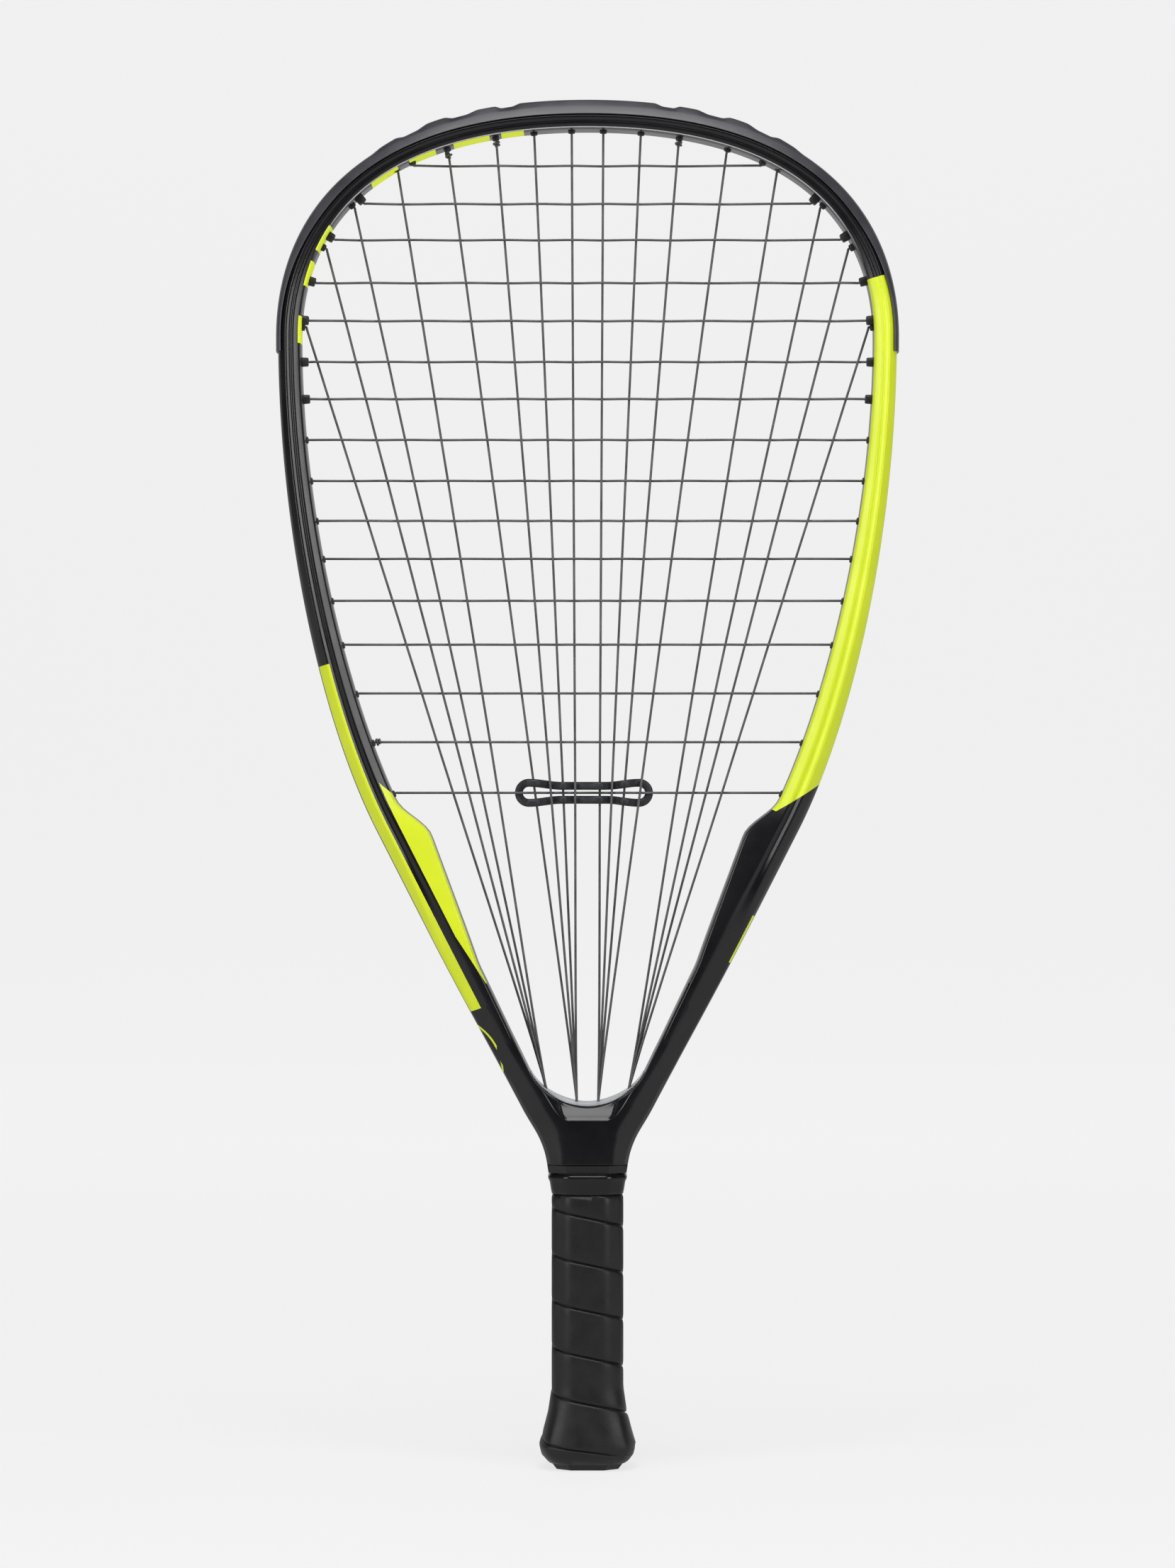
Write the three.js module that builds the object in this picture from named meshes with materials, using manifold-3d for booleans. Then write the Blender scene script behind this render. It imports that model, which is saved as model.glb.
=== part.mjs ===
// Racquetball racket, upright, in millimetres: +Z runs from the butt to the crown of the head, X across
// the face, and the string bed lies in the plane Y = 0. The origin is the middle of the butt's flat end.
// One hollow frame carries a woven bed of two strings, a head guard and an octagonal wrapped handle.
import * as THREE from "three";
import { mergeVertices } from "three/addons/utils/BufferGeometryUtils.js";
import Module from "manifold-3d";

const wasm = await Module();
wasm.setup();
const { lerp, smoothstep, smootherstep, clamp, degToRad } = THREE.MathUtils;

// Driving dimensions: the racket and its head. The widest point is measured from the crown, and the
// arms and the throat from the neck's seam.
const overallLength = 558.8;
const neckSeamHeight = 124.2;
const headHalfWidth = 121.6;
const widestDrop = 97;
const crownReach = 102.4;
const shoulderRise = 36;
const armTopRise = 138.7;
const armAngle = degToRad(27);

// Driving dimensions: the frame's tube
const headTubeWidth = 9.4;
const armTubeWidth = 12.6;
const throatTubeWidth = 9.3;
const headTubeDepth = 19.6;
const armTubeDepth = 21.2;
const tubeWall = 1.3;
const railWidth = 5.9;

// Driving dimensions: the strings, the throat and the guard
const stringDiameter = 1.15;
const stringGap = 0.45;
const throatRadius = 26.3;
const throatFloorRise = 23.5;
const crownGuardThickness = 3;

// Driving dimensions: the handle
const gripTopDrop = 12.4;
const gripHalfWidth = 14.65;
const gripHalfDepth = 12;
const gripCornerWidth = 6.9;
const gripCornerDepth = 5.4;
const tapeThickness = 1.8;
const tapePitch = 18.9;
const flareHalfWidth = 19.8;
const flareHeight = 9.7;
const capTopHeight = 33;

// Clearance between pieces that touch, and how far every cutter runs past what it cuts
const seatGap = 0.3;
const cutOverrun = 1;

// Finishes
const satinBlack = { color: 0x1d1d20, roughness: 0.42, metalness: 0.1 };
const guardGrey = { color: 0x4b4b50, roughness: 0.6, metalness: 0 };
const sleeveBlack = { color: 0x222326, roughness: 0.55, metalness: 0 };
const clearStrip = { color: 0xdfe4e8, roughness: 0.2, metalness: 0 };
const stringGrey = { color: 0x4a4a4c, roughness: 0.35, metalness: 0 };
const rubberBlack = { color: 0x35363a, roughness: 0.7, metalness: 0 };
const tapeBlack = { color: 0x18181a, roughness: 0.75, metalness: 0 };
const foamGrey = { color: 0x6b6d70, roughness: 0.8, metalness: 0 };
const steel = { color: 0xb8bcc0, roughness: 0.3, metalness: 0.9 };

const racket = new THREE.Group();

function addPiece(name, geometry, finish) {
  const mesh = new THREE.Mesh(geometry, new THREE.MeshStandardMaterial(finish));
  mesh.name = name;
  racket.add(mesh);
}

// Solids: a closed mesh becomes a solid to be joined or cut, and a solid becomes a mesh again
const weldDistance = 0.0001;

function toSolid(geometry) {
  const bare = geometry.clone();
  bare.deleteAttribute("normal");
  bare.deleteAttribute("uv");
  const merged = mergeVertices(bare, weldDistance);
  return new wasm.Manifold(new wasm.Mesh({
    numProp: 3,
    vertProperties: new Float32Array(merged.attributes.position.array),
    triVerts: new Uint32Array(merged.index.array),
  }));
}

function toGeometry(solid) {
  const mesh = solid.getMesh();
  const geometry = new THREE.BufferGeometry();
  geometry.setAttribute("position", new THREE.BufferAttribute(mesh.vertProperties, 3));
  geometry.setIndex(new THREE.BufferAttribute(mesh.triVerts, 1));
  return geometry;
}

function joinAll(solids) {
  return solids.reduce((whole, solid) => whole.add(solid));
}

function cutAll(solid, cutters) {
  return cutters.reduce((rest, cutter) => rest.subtract(cutter), solid);
}

// Six times the volume that a triangle list encloses: below zero when its faces point inwards
function signedVolume(points, triangles) {
  const total = { sum: 0 };
  for (let i = 0; i < triangles.length; i += 3) {
    const [a, b, c] = [0, 1, 2].map((k) => points[triangles[i + k]]);
    total.sum += a.dot(b.clone().cross(c));
  }
  return total.sum;
}

function meshFrom(points, triangles) {
  if (signedVolume(points, triangles) < 0) triangles.reverse();
  const geometry = new THREE.BufferGeometry().setFromPoints(points);
  geometry.setIndex(triangles);
  return geometry;
}

// Loft: each station holds a flat outline and the function that places its points in space. A closed
// loft joins its last station to its first, and an open one is capped at both ends.
function loft(stations, closed = false) {
  const count = stations[0].outline.length;
  const points = stations.flatMap(({ outline, place }) => outline.map((corner) => place(corner)));
  const triangles = [];
  const spans = closed ? stations.length : stations.length - 1;
  for (let i = 0; i < spans; i += 1) {
    const here = i * count;
    const next = ((i + 1) % stations.length) * count;
    for (let k = 0; k < count; k += 1) {
      const turn = (k + 1) % count;
      triangles.push(here + k, next + k, next + turn, here + k, next + turn, here + turn);
    }
  }
  if (!closed) {
    [0, stations.length - 1].forEach((station) => {
      const { outline } = stations[station];
      const inOrder = THREE.ShapeUtils.isClockWise(outline) === (station > 0);
      const start = station * count;
      THREE.ShapeUtils.triangulateShape(outline, []).forEach(([a, b, c]) => {
        triangles.push(start + a, ...(inOrder ? [start + b, start + c] : [start + c, start + b]));
      });
    });
  }
  return meshFrom(points, triangles);
}

const flat = (x, y) => new THREE.Vector2(x, y);

// An outline given from one side of its mirror line, completed by its mirror image below it
function mirrored(half) {
  return [...half, ...half.map((corner) => flat(corner.x, -corner.y)).reverse()];
}

// A rectangle with cut corners, centred on zero
function octagon(halfWidth, halfDepth, cornerWidth, cornerDepth) {
  return mirrored([
    flat(halfWidth, halfDepth - cornerDepth),
    flat(halfWidth - cornerWidth, halfDepth),
    flat(cornerWidth - halfWidth, halfDepth),
    flat(-halfWidth, halfDepth - cornerDepth),
  ]);
}

function rectangle(halfWidth, halfDepth) {
  return mirrored([flat(halfWidth, halfDepth), flat(-halfWidth, halfDepth)]);
}

// A loft whose stations are level outlines stacked up the handle
function stack(levels) {
  return loft(levels.map(({ height, outline }) => ({
    outline, place: ({ x, y }) => new THREE.Vector3(x, y, height),
  })));
}

// The frame's centreline, for the right half: crown to the widest point, flank, and straight arm. The
// arm's line passes the round throat at a set distance from it.
const armFootRise = 14;
const throatToArmLine = 4.98;
const flankDropShare = 0.388;
const armLeadShare = 0.243;
const crownHeight = overallLength - crownGuardThickness - headTubeWidth / 2;
const widestHeight = overallLength - widestDrop;
const throatFloorHeight = neckSeamHeight + throatFloorRise;
const throatCentreHeight = throatFloorHeight + throatRadius;
const armTopHeight = neckSeamHeight + armTopRise;
const armFootHeight = neckSeamHeight + armFootRise;
const armLineHalfWidth = (height) => (throatRadius + throatToArmLine
  - (throatCentreHeight - height) * Math.sin(armAngle)) / Math.cos(armAngle);
const armDown = flat(-Math.sin(armAngle), -Math.cos(armAngle));
const crownPoint = flat(0, crownHeight);
const flankPoint = flat(headHalfWidth, widestHeight);
const armTop = flat(armLineHalfWidth(armTopHeight), armTopHeight);
const armFoot = flat(armLineHalfWidth(armFootHeight), armFootHeight);
const flankHeight = widestHeight - armTopHeight;
const crownCurve = new THREE.CubicBezierCurve(
  crownPoint, flat(crownReach, crownHeight), flat(headHalfWidth, widestHeight + shoulderRise), flankPoint);
const flankCurve = new THREE.CubicBezierCurve(
  flankPoint, flat(headHalfWidth, widestHeight - flankHeight * flankDropShare),
  armTop.clone().addScaledVector(armDown, -flankHeight * armLeadShare), armTop);
const halfHead = new THREE.CurvePath();
halfHead.add(crownCurve);
halfHead.add(flankCurve);
halfHead.add(new THREE.LineCurve(armTop, armFoot));
const flankDistance = crownCurve.getLength();
const armDistance = flankDistance + flankCurve.getLength();
const halfLength = halfHead.getLength();

// The tube's width, depth and inner rail at a distance along the centreline, left side negative
const armFullRun = 48.3;
const railLead = 10;
const railFullRun = 5.3;
const railRun = 67.6;
const armFullDistance = armDistance + armFullRun;
const railStartDistance = armDistance - railLead;
const railFullDistance = armDistance + railFullRun;
const railEndDistance = armDistance + railRun;

function tubeWidth(distance) {
  const reach = Math.abs(distance);
  const headToArm = smoothstep(reach, flankDistance, armDistance);
  const armToThroat = smoothstep(reach, armFullDistance, halfLength);
  return lerp(lerp(headTubeWidth, armTubeWidth, headToArm), throatTubeWidth, armToThroat);
}

function tubeDepth(distance) {
  return lerp(headTubeDepth, armTubeDepth, smoothstep(Math.abs(distance), flankDistance, armDistance));
}

function rail(distance) {
  const reach = Math.abs(distance);
  const fall = clamp((railEndDistance - reach) / (railEndDistance - railFullDistance), 0, 1);
  return railWidth * smoothstep(reach, railStartDistance, railFullDistance) * fall;
}

// A point of the smooth hoop: distance along the centreline, outward offset in the face, and depth
function curvePoint(distance, outward, depth) {
  const side = distance < 0 ? -1 : 1;
  const share = Math.min(Math.abs(distance) / halfLength, 1);
  const point = halfHead.getPointAt(share);
  const tangent = halfHead.getTangentAt(share);
  return new THREE.Vector3(
    side * (point.x - tangent.y * outward), depth, point.y + tangent.x * outward);
}

// Distance along the right half where a measure of the frame's inner edge reaches its target
const halvings = 40;

function findDistance(measure, target, from, to) {
  const rising = measure(from) < measure(to);
  const range = { low: from, high: to };
  for (let step = 0; step < halvings; step += 1) {
    const middle = (range.low + range.high) / 2;
    if (measure(middle) < target === rising) range.low = middle;
    else range.high = middle;
  }
  return range.low;
}

// Strings: 16 crosses at shares of the bed's height below the crown, and 16 mains. The outer four mains
// of each side share a sleeve with a cross, and the inner four meet the crown at shares of its half width.
const bedTop = crownHeight - headTubeWidth / 2;
const bedHeight = bedTop - throatFloorHeight;
const crossLevelShares = [0.036, 0.075, 0.112, 0.156, 0.195, 0.237, 0.275, 0.317,
  0.359, 0.4, 0.439, 0.482, 0.527, 0.577, 0.627, 0.679];
const crownMainShares = [0.468, 0.307, 0.179, 0.053];
const crossesSharedWithMains = [5, 3, 2, 1];
const crossCount = crossLevelShares.length;
const mainCount = 2 * (crossesSharedWithMains.length + crownMainShares.length);

const firstStoutCross = 1;
const stoutCrosses = 7;
const stoutSleeveReach = 3.2;
const crownSleeveReach = 0.9;
const sideSleeveReach = 0.5;
const mouthRoom = stringDiameter / 2 + seatGap;
const isStout = (cross) => cross >= firstStoutCross && cross < stoutCrosses;

function crossReach(cross) {
  if (isStout(cross)) return stoutSleeveReach;
  return cross < firstStoutCross ? crownSleeveReach : sideSleeveReach;
}

const insideMouth = (distance, reach) => tubeWidth(distance) / 2 + reach + mouthRoom;
const crossHeights = crossLevelShares.map((share) => bedTop - share * bedHeight);
const crossDistances = crossHeights.map((height, cross) => (findDistance((distance) => (
  curvePoint(distance, -insideMouth(distance, crossReach(cross)), 0).z), height, 0, halfLength)));
const crownMainDistances = crownMainShares.map((share) => (findDistance((distance) => (
  curvePoint(distance, -insideMouth(distance, crownSleeveReach), 0).x), share * headHalfWidth, 0,
  flankDistance)));
const halfMainDistances = [
  ...crossesSharedWithMains.map((number) => crossDistances[number - 1]), ...crownMainDistances];
const mainDistances = [
  ...halfMainDistances.map((distance) => -distance), ...halfMainDistances.toReversed()];

// The outer groove: a strip lies on its floor, the strings run on the strip in three lanes side by side
const stripThickness = 0.75;
const laneStep = stringDiameter + stringGap;
const grooveDepth = seatGap + stripThickness + seatGap + stringDiameter;
const stripHalfWidth = laneStep + stringDiameter / 2;
const grooveFloorHalfWidth = stripHalfWidth + seatGap;
const grooveHalfWidth = grooveFloorHalfWidth + seatGap;
const crossLane = -laneStep;
const tailLane = laneStep;
const grooveEndDistance = crossDistances[crossCount - 1] + armTubeWidth;
const grooveFadeDistance = grooveEndDistance + armTubeWidth;

function groove(distance) {
  return grooveDepth * (1 - smoothstep(Math.abs(distance), grooveEndDistance, grooveFadeDistance));
}

const grooveFloor = (distance) => tubeWidth(distance) / 2 - groove(distance);
const laneHeight = (distance) => tubeWidth(distance) / 2 - stringDiameter / 2;

// Ribs of the head guard: a plain middle, then three crests to each side that fall away outwards
const plainHalfLength = 27;
const firstRibDistance = 36.5;
const ribPitch = 20.3;
const ribCount = 3;
const ribFootShare = 0.62;
const ribEndDistance = firstRibDistance + ribCount * ribPitch;

const numbers = (from, to) => Array.from({ length: to - from + 1 }, (_, i) => from + i);

function spacedBetween(from, to, spacing) {
  const count = Math.ceil((to - from) / spacing);
  return numbers(0, count).map((i) => lerp(from, to, i / count));
}

// The hoop's stations, right half: level with the guard's ribs, then evenly spaced, then where the arm's
// rail and groove begin and end. Everything that follows the hoop keeps to the facets between them.
const stationSpacing = 15;
const railStationShares = [0, 0.35, 0.7, 1];
const inOrder = (distances) => [...new Set(distances)].sort((a, b) => a - b);
const halfStations = inOrder([
  ...spacedBetween(0, plainHalfLength, stationSpacing),
  ...numbers(0, ribCount - 1).flatMap((rib) => [0, ribFootShare].map((share) => (
    firstRibDistance + (rib + share) * ribPitch))),
  ...spacedBetween(ribEndDistance, railStartDistance, stationSpacing),
  ...railStationShares.map((share) => lerp(railStartDistance, railFullDistance, share)),
  grooveEndDistance, grooveFadeDistance, armFullDistance, railEndDistance, halfLength]);
const bothSides = (half) => [...half.slice(1).toReversed().map((distance) => -distance), ...half];

// A point on the faceted hoop: between two stations it lies on the straight line that joins them
function framePoint(distance, outward, depth) {
  const reach = Math.abs(distance);
  const after = clamp(halfStations.findIndex((station) => station >= reach), 1, halfStations.length - 1);
  const [from, to] = [halfStations[after - 1], halfStations[after]];
  const side = distance < 0 ? -1 : 1;
  return curvePoint(side * from, outward, depth).lerp(
    curvePoint(side * to, outward, depth), (reach - from) / (to - from));
}

// Frame section, in shares of the tube's width counted from its outer side and of its half depth: the
// outer wall and its knee, then an outer crest, a sunk band, an inner crest, and the two corners of the
// inner edge, which run out over the rail. The crests shift outwards below the shoulder, and towards the
// throat the sunk band fills up and the inner edge is cut back.
const outerWallShares = [[0, 0.46], [0.1, 0.68]];
const crownShares = [[0.48, 0.98], [0.66, 0.87], [0.74, 0.89], [0.95, 0.8], [1, 0.5]];
const flankShares = [[0.35, 0.97], [0.53, 0.86], [0.65, 0.98], [0.95, 0.8], [1, 0.5]];
const throatShares = [[0.35, 0.97], [0.5, 1], [0.66, 0.95], [0.8, 0.8], [1, 0.25]];
const crestCount = 3;
const shoulderDistance = 115;
const underShoulderDistance = 168;

const mixed = (from, to, share) => from.map(([across, deep], corner) => (
  [lerp(across, to[corner][0], share), lerp(deep, to[corner][1], share)]));

function faceShares(distance) {
  const reach = Math.abs(distance);
  const head = mixed(
    crownShares, flankShares, smoothstep(reach, shoulderDistance, underShoulderDistance));
  return mixed(head, throatShares, smoothstep(reach, railFullDistance, railEndDistance));
}

function frameSection(distance) {
  const width = tubeWidth(distance);
  const halfDepth = tubeDepth(distance) / 2;
  const outer = width / 2;
  const corner = ([across, deep], inset) => flat(outer - across * width - inset, deep * halfDepth);
  const face = faceShares(distance);
  return mirrored([
    flat(grooveFloor(distance), grooveFloorHalfWidth),
    flat(outer, grooveHalfWidth),
    ...[...outerWallShares, ...face.slice(0, crestCount)].map((shares) => corner(shares, 0)),
    ...face.slice(crestCount).map((shares) => corner(shares, rail(distance))),
  ]);
}

// The hollow inside the tube, clear of the groove's floor by the tube's wall
const hollowShares = [[0, 0.42], [0.35, 0.77], [1, 0.56]];

function hollowSection(distance) {
  const outer = grooveFloor(distance) - tubeWall;
  const inner = -tubeWidth(distance) / 2 + tubeWall;
  const halfDepth = tubeDepth(distance) / 2;
  return mirrored(hollowShares.map(([across, deep]) => (
    flat(lerp(outer, inner, across), deep * halfDepth))));
}

function alongFrame(distances, section) {
  return distances.map((distance) => ({
    outline: section(distance),
    place: ({ x, y }) => framePoint(distance, x, y),
  }));
}

// Neck: a faceted block between and below the arms, from the seam over the handle up to the yoke
const neckHalfDepth = 11.4;
const yokeHalfDepth = 10.5;
const neckSeamHalfWidth = 16.6;
const neckWaistRise = 5.8;
const neckWaistHalfWidth = 17.8;
const neckShoulderRise = 11.8;
const neckShoulderHalfWidth = 20.3;
const neckTopRise = 17.8;
const neckTopHalfWidth = 23.1;
const yokeRise = 38;
const yokeHalfWidth = 29;
const neckCornerWidth = 7.4;
const yokeCornerWidth = 3.4;
const neckCornerDepth = 4.6;
const neckLevels = [
  { rise: 0, halfWidth: neckSeamHalfWidth, share: 0 },
  { rise: neckWaistRise, halfWidth: neckWaistHalfWidth, share: 0.2 },
  { rise: neckShoulderRise, halfWidth: neckShoulderHalfWidth, share: 0.5 },
  { rise: neckTopRise, halfWidth: neckTopHalfWidth, share: 0.8 },
  { rise: yokeRise, halfWidth: yokeHalfWidth, share: 1 },
];
const neckOutline = ({ halfWidth, share }) => octagon(
  halfWidth, lerp(neckHalfDepth, yokeHalfDepth, share),
  lerp(neckCornerWidth, yokeCornerWidth, share), lerp(neckCornerDepth, neckCornerDepth / 2, share));
const neckBlock = toSolid(stack(neckLevels.map((level) => ({
  height: neckSeamHeight + level.rise, outline: neckOutline(level),
}))));

// The throat between the arms ends in one round floor
const acrossFace = ({ x, y }, depth) => new THREE.Vector3(x, depth, y);

function prism(outline, fromDepth, toDepth) {
  return loft([fromDepth, toDepth].map((depth) => ({
    outline, place: (corner) => acrossFace(corner, depth),
  })));
}

const throatSegments = 40;
const throatOutline = Array.from({ length: throatSegments }, (_, i) => {
  const angle = (i / throatSegments) * 2 * Math.PI;
  return flat(throatRadius * Math.sin(angle), throatCentreHeight - throatRadius * Math.cos(angle));
});
const throatCutter = toSolid(prism(
  throatOutline, -neckHalfDepth - cutOverrun, neckHalfDepth + cutOverrun));

// Scoops: a hollowed bay below the throat on each face, which leaves the yoke's web between them
const scoopDrop = 4.8;
const scoopFloorHeight = throatFloorHeight - scoopDrop;
const scoopFloorHalfWidth = 8.4;
const scoopTopRise = 14;
const scoopTopHalfWidth = 18.6;
const webHalfDepth = 6.2;
const scoopLevelShares = [
  { rise: 0, spread: 0, depth: 0.02 },
  { rise: 0.12, spread: 0.25, depth: 0.5 },
  { rise: 0.35, spread: 0.45, depth: 0.88 },
  { rise: 1, spread: 1, depth: 1 },
];

function scoop(side) {
  return toSolid(stack(scoopLevelShares.map(({ rise, spread, depth }) => {
    const halfWidth = lerp(scoopFloorHalfWidth, scoopTopHalfWidth, spread);
    const floor = side * lerp(neckHalfDepth, webHalfDepth, depth);
    const rim = side * (neckHalfDepth + cutOverrun);
    return {
      height: scoopFloorHeight + rise * scoopTopRise,
      outline: [flat(-halfWidth, floor), flat(halfWidth, floor), flat(halfWidth, rim), flat(-halfWidth, rim)],
    };
  })));
}

// Chamber: the hollow below the yoke, where the mains turn back, open to both arms and to the shanks
const throatFloorThickness = 7.1;
const chamberFloorHeight = neckSeamHeight + neckWaistRise;
const chamberRoofHeight = throatFloorHeight - throatFloorThickness;
const chamberWall = 2.4;
const chamberHalfDepth = 8;
const chamberFloorShare = 0.35;
const chamberRoofShare = 0.75;
const chamberHalfWidth = (share) => lerp(neckWaistHalfWidth, neckTopHalfWidth, share) - chamberWall;
const chamberLevel = (height, share) => ({
  height, outline: octagon(chamberHalfWidth(share), chamberHalfDepth, chamberWall, chamberWall),
});
const chamber = toSolid(stack([
  chamberLevel(chamberFloorHeight, 0),
  chamberLevel(lerp(chamberFloorHeight, chamberRoofHeight, chamberFloorShare), chamberFloorShare),
  chamberLevel(chamberRoofHeight, chamberRoofShare),
]));

// Shanks: two square tubes that carry the frame down inside the handle, open at their lower ends
const shankInnerX = 1.4;
const shankOuterX = 8.7;
const shankHalfDepth = 6.3;
const shankCorner = 1.2;
const shankWall = 1.4;
const shankFootHeight = 9;
const shankCentreX = (shankInnerX + shankOuterX) / 2;
const shankHalfWidth = (shankOuterX - shankInnerX) / 2;

function shankTube(side, grow, fromHeight, toHeight) {
  const outline = octagon(shankHalfWidth + grow, shankHalfDepth + grow, shankCorner, shankCorner)
    .map(({ x, y }) => flat(x + side * shankCentreX, y));
  return toSolid(stack([{ height: fromHeight, outline }, { height: toHeight, outline }]));
}

// Mains at the throat: four openings, each with a pair of slots either side of a web. The four strings
// of an opening stand one behind the other, and each pair turns back under the web.
const slotWeb = 1;
const slotEndRoom = seatGap;
const nearRow = slotWeb / 2 + slotEndRoom + stringDiameter / 2;
const farRow = nearRow + laneStep;
const slotHalfLength = (laneStep + stringDiameter) / 2 + slotEndRoom;
const slotCentre = (nearRow + farRow) / 2;
const slotHalfWidth = stringDiameter / 2 + seatGap;
const sleeveWall = 0.55;
const throatStripThickness = 1.8;
const throatStripRadius = throatRadius - seatGap - throatStripThickness / 2;
const innerMouthAngle = degToRad(10);
const outerMouthAngle = degToRad(43);
const innerLean = degToRad(4);
const outerLean = degToRad(13);
const turnRoom = 1.6;
const turnHeight = chamberRoofHeight - turnRoom;

function throatMouth(angle, lean, side) {
  const mouth = flat(
    side * throatStripRadius * Math.sin(angle), throatCentreHeight - throatStripRadius * Math.cos(angle));
  const down = flat(-side * Math.sin(lean), -Math.cos(lean));
  const turn = mouth.clone().addScaledVector(down, (mouth.y - turnHeight) / Math.cos(lean));
  return { mouth, down, turn };
}

const throatMouths = [-1, 1].flatMap((side) => {
  const inner = throatMouth(innerMouthAngle, innerLean, side);
  const outer = throatMouth(outerMouthAngle, outerLean, side);
  return side < 0 ? [outer, inner] : [inner, outer];
});
const mainsPerMouth = mainCount / throatMouths.length;
const mouthOfMain = (main) => throatMouths[Math.floor(main / mainsPerMouth)];

// A straight run along a throat opening: a flat bar in depth, leaning with the strings
function throatBar({ mouth, down }, above, below, halfWidth, halfDepth, centreDepth) {
  const acrossX = -down.y;
  const acrossZ = down.x;
  return toSolid(loft([-above, below].map((run) => ({
    outline: rectangle(halfWidth, halfDepth),
    place: ({ x, y }) => new THREE.Vector3(
      mouth.x + down.x * run + acrossX * x, centreDepth + y, mouth.y + down.y * run + acrossZ * x),
  }))));
}

const sleeveHalfWidth = slotHalfWidth + sleeveWall;
const sleeveHalfDepth = slotCentre + slotHalfLength + sleeveWall;
const sleeveRun = ({ mouth, down }) => (mouth.y - chamberRoofHeight) / -down.y;

// Sleeves through the hoop: one for each hole, in the head strip for the first seven crosses and the
// mains, and in the side strips for the other crosses
const boreRoom = 0.39;
const boreHalf = stringDiameter / 2 + boreRoom;
const plainSleeveHalf = boreHalf + sleeveWall;
const stoutSleeveHalf = 1.9;

const isSharedCross = (number) => crossesSharedWithMains.includes(number);
const crossTailMain = mainCount / 4;
const mainTailMain = crossTailMain + 1;

// Each hole gives its place, the lanes that its bore opens to, and how far its sleeve stands proud
function crownHole(index) {
  return [-1, 1].map((side) => {
    const main = side < 0 ? mainCount / 4 + index : (3 * mainCount) / 4 - 1 - index;
    const opensTail = main === mainTailMain || main === mainCount - 1 - mainTailMain;
    return {
      distance: side * crownMainDistances[index],
      from: main === crossTailMain ? crossLane : 0,
      to: opensTail ? tailLane : 0,
      half: plainSleeveHalf,
      reach: crownSleeveReach,
    };
  });
}

function crossHole(number) {
  const stout = isStout(number - 1);
  return [-1, 1].map((side) => ({
    distance: side * crossDistances[number - 1],
    from: isSharedCross(number) ? crossLane : 0,
    to: 0,
    half: stout ? stoutSleeveHalf : plainSleeveHalf,
    reach: crossReach(number - 1),
  }));
}

const headHoles = [
  ...crownMainShares.flatMap((_, index) => crownHole(index)),
  ...numbers(1, stoutCrosses).flatMap((number) => crossHole(number)),
];
const sideHoles = numbers(stoutCrosses + 1, crossCount).flatMap((number) => crossHole(number));
const lastLeftTail = sideHoles.find(({ distance }) => distance === -crossDistances[crossCount - 2]);
lastLeftTail.to = tailLane;

// A straight bar through the hoop at a hole, square to the centreline, with its corners cut if it is stout
const barCornerShare = 0.5;

function hoopBar({ distance, from, to, half }, size, inward, outward) {
  const middle = (from + to) / 2;
  const halfDeep = (to - from) / 2 + size;
  const corner = size * barCornerShare;
  const outline = half === stoutSleeveHalf ? octagon(size, halfDeep, corner, corner)
    : rectangle(size, halfDeep);
  const foot = framePoint(distance, -inward, middle);
  const head = framePoint(distance, outward, middle);
  const along = head.clone().sub(foot).normalize();
  return toSolid(loft([foot, head].map((centre) => ({
    outline,
    place: ({ x, y }) => new THREE.Vector3(centre.x + along.z * x, centre.y + y, centre.z - along.x * x),
  }))));
}

// The frame: arms, hoop and yoke joined, then hollowed and drilled
const hoopOutside = toSolid(loft(alongFrame(bothSides(halfStations), frameSection)));
const hoopHollow = toSolid(loft(alongFrame(
  bothSides(halfStations.filter((distance) => distance < halfLength)), hollowSection)));
const yoke = cutAll(neckBlock, [throatCutter, scoop(-1), scoop(1)]);
const shankTop = neckSeamHeight + neckWaistRise / 2;
const shanks = [-1, 1].map((side) => shankTube(side, 0, shankFootHeight, shankTop));
const shankBores = [-1, 1].map((side) => (
  shankTube(side, -shankWall, shankFootHeight - cutOverrun, chamberFloorHeight + cutOverrun)));
const holeCutters = [...headHoles, ...sideHoles].map((hole) => {
  const halfWidth = tubeWidth(hole.distance) / 2;
  return hoopBar(hole, hole.half + seatGap, halfWidth + rail(hole.distance) + cutOverrun, halfWidth);
});
const throatCutters = throatMouths.map((opening) => throatBar(
  opening, throatStripThickness, sleeveRun(opening) + cutOverrun,
  sleeveHalfWidth + seatGap, sleeveHalfDepth + seatGap, 0));
const frame = cutAll(joinAll([hoopOutside, yoke, ...shanks]), [
  hoopHollow, chamber, ...shankBores, ...holeCutters, ...throatCutters]);
addPiece("frame", toGeometry(frame), satinBlack);

// Strips in the outer groove, each one moulding with its sleeves, drilled for the strings
const headStripEnd = (crossDistances[stoutCrosses - 1] + crossDistances[stoutCrosses]) / 2;

function stripLevels(distance) {
  const floor = tubeWidth(distance) / 2 - grooveDepth + seatGap;
  return mirrored([flat(floor + stripThickness, stripHalfWidth), flat(floor, stripHalfWidth)]);
}

const sleeveRootDepth = 0.6;

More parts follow.
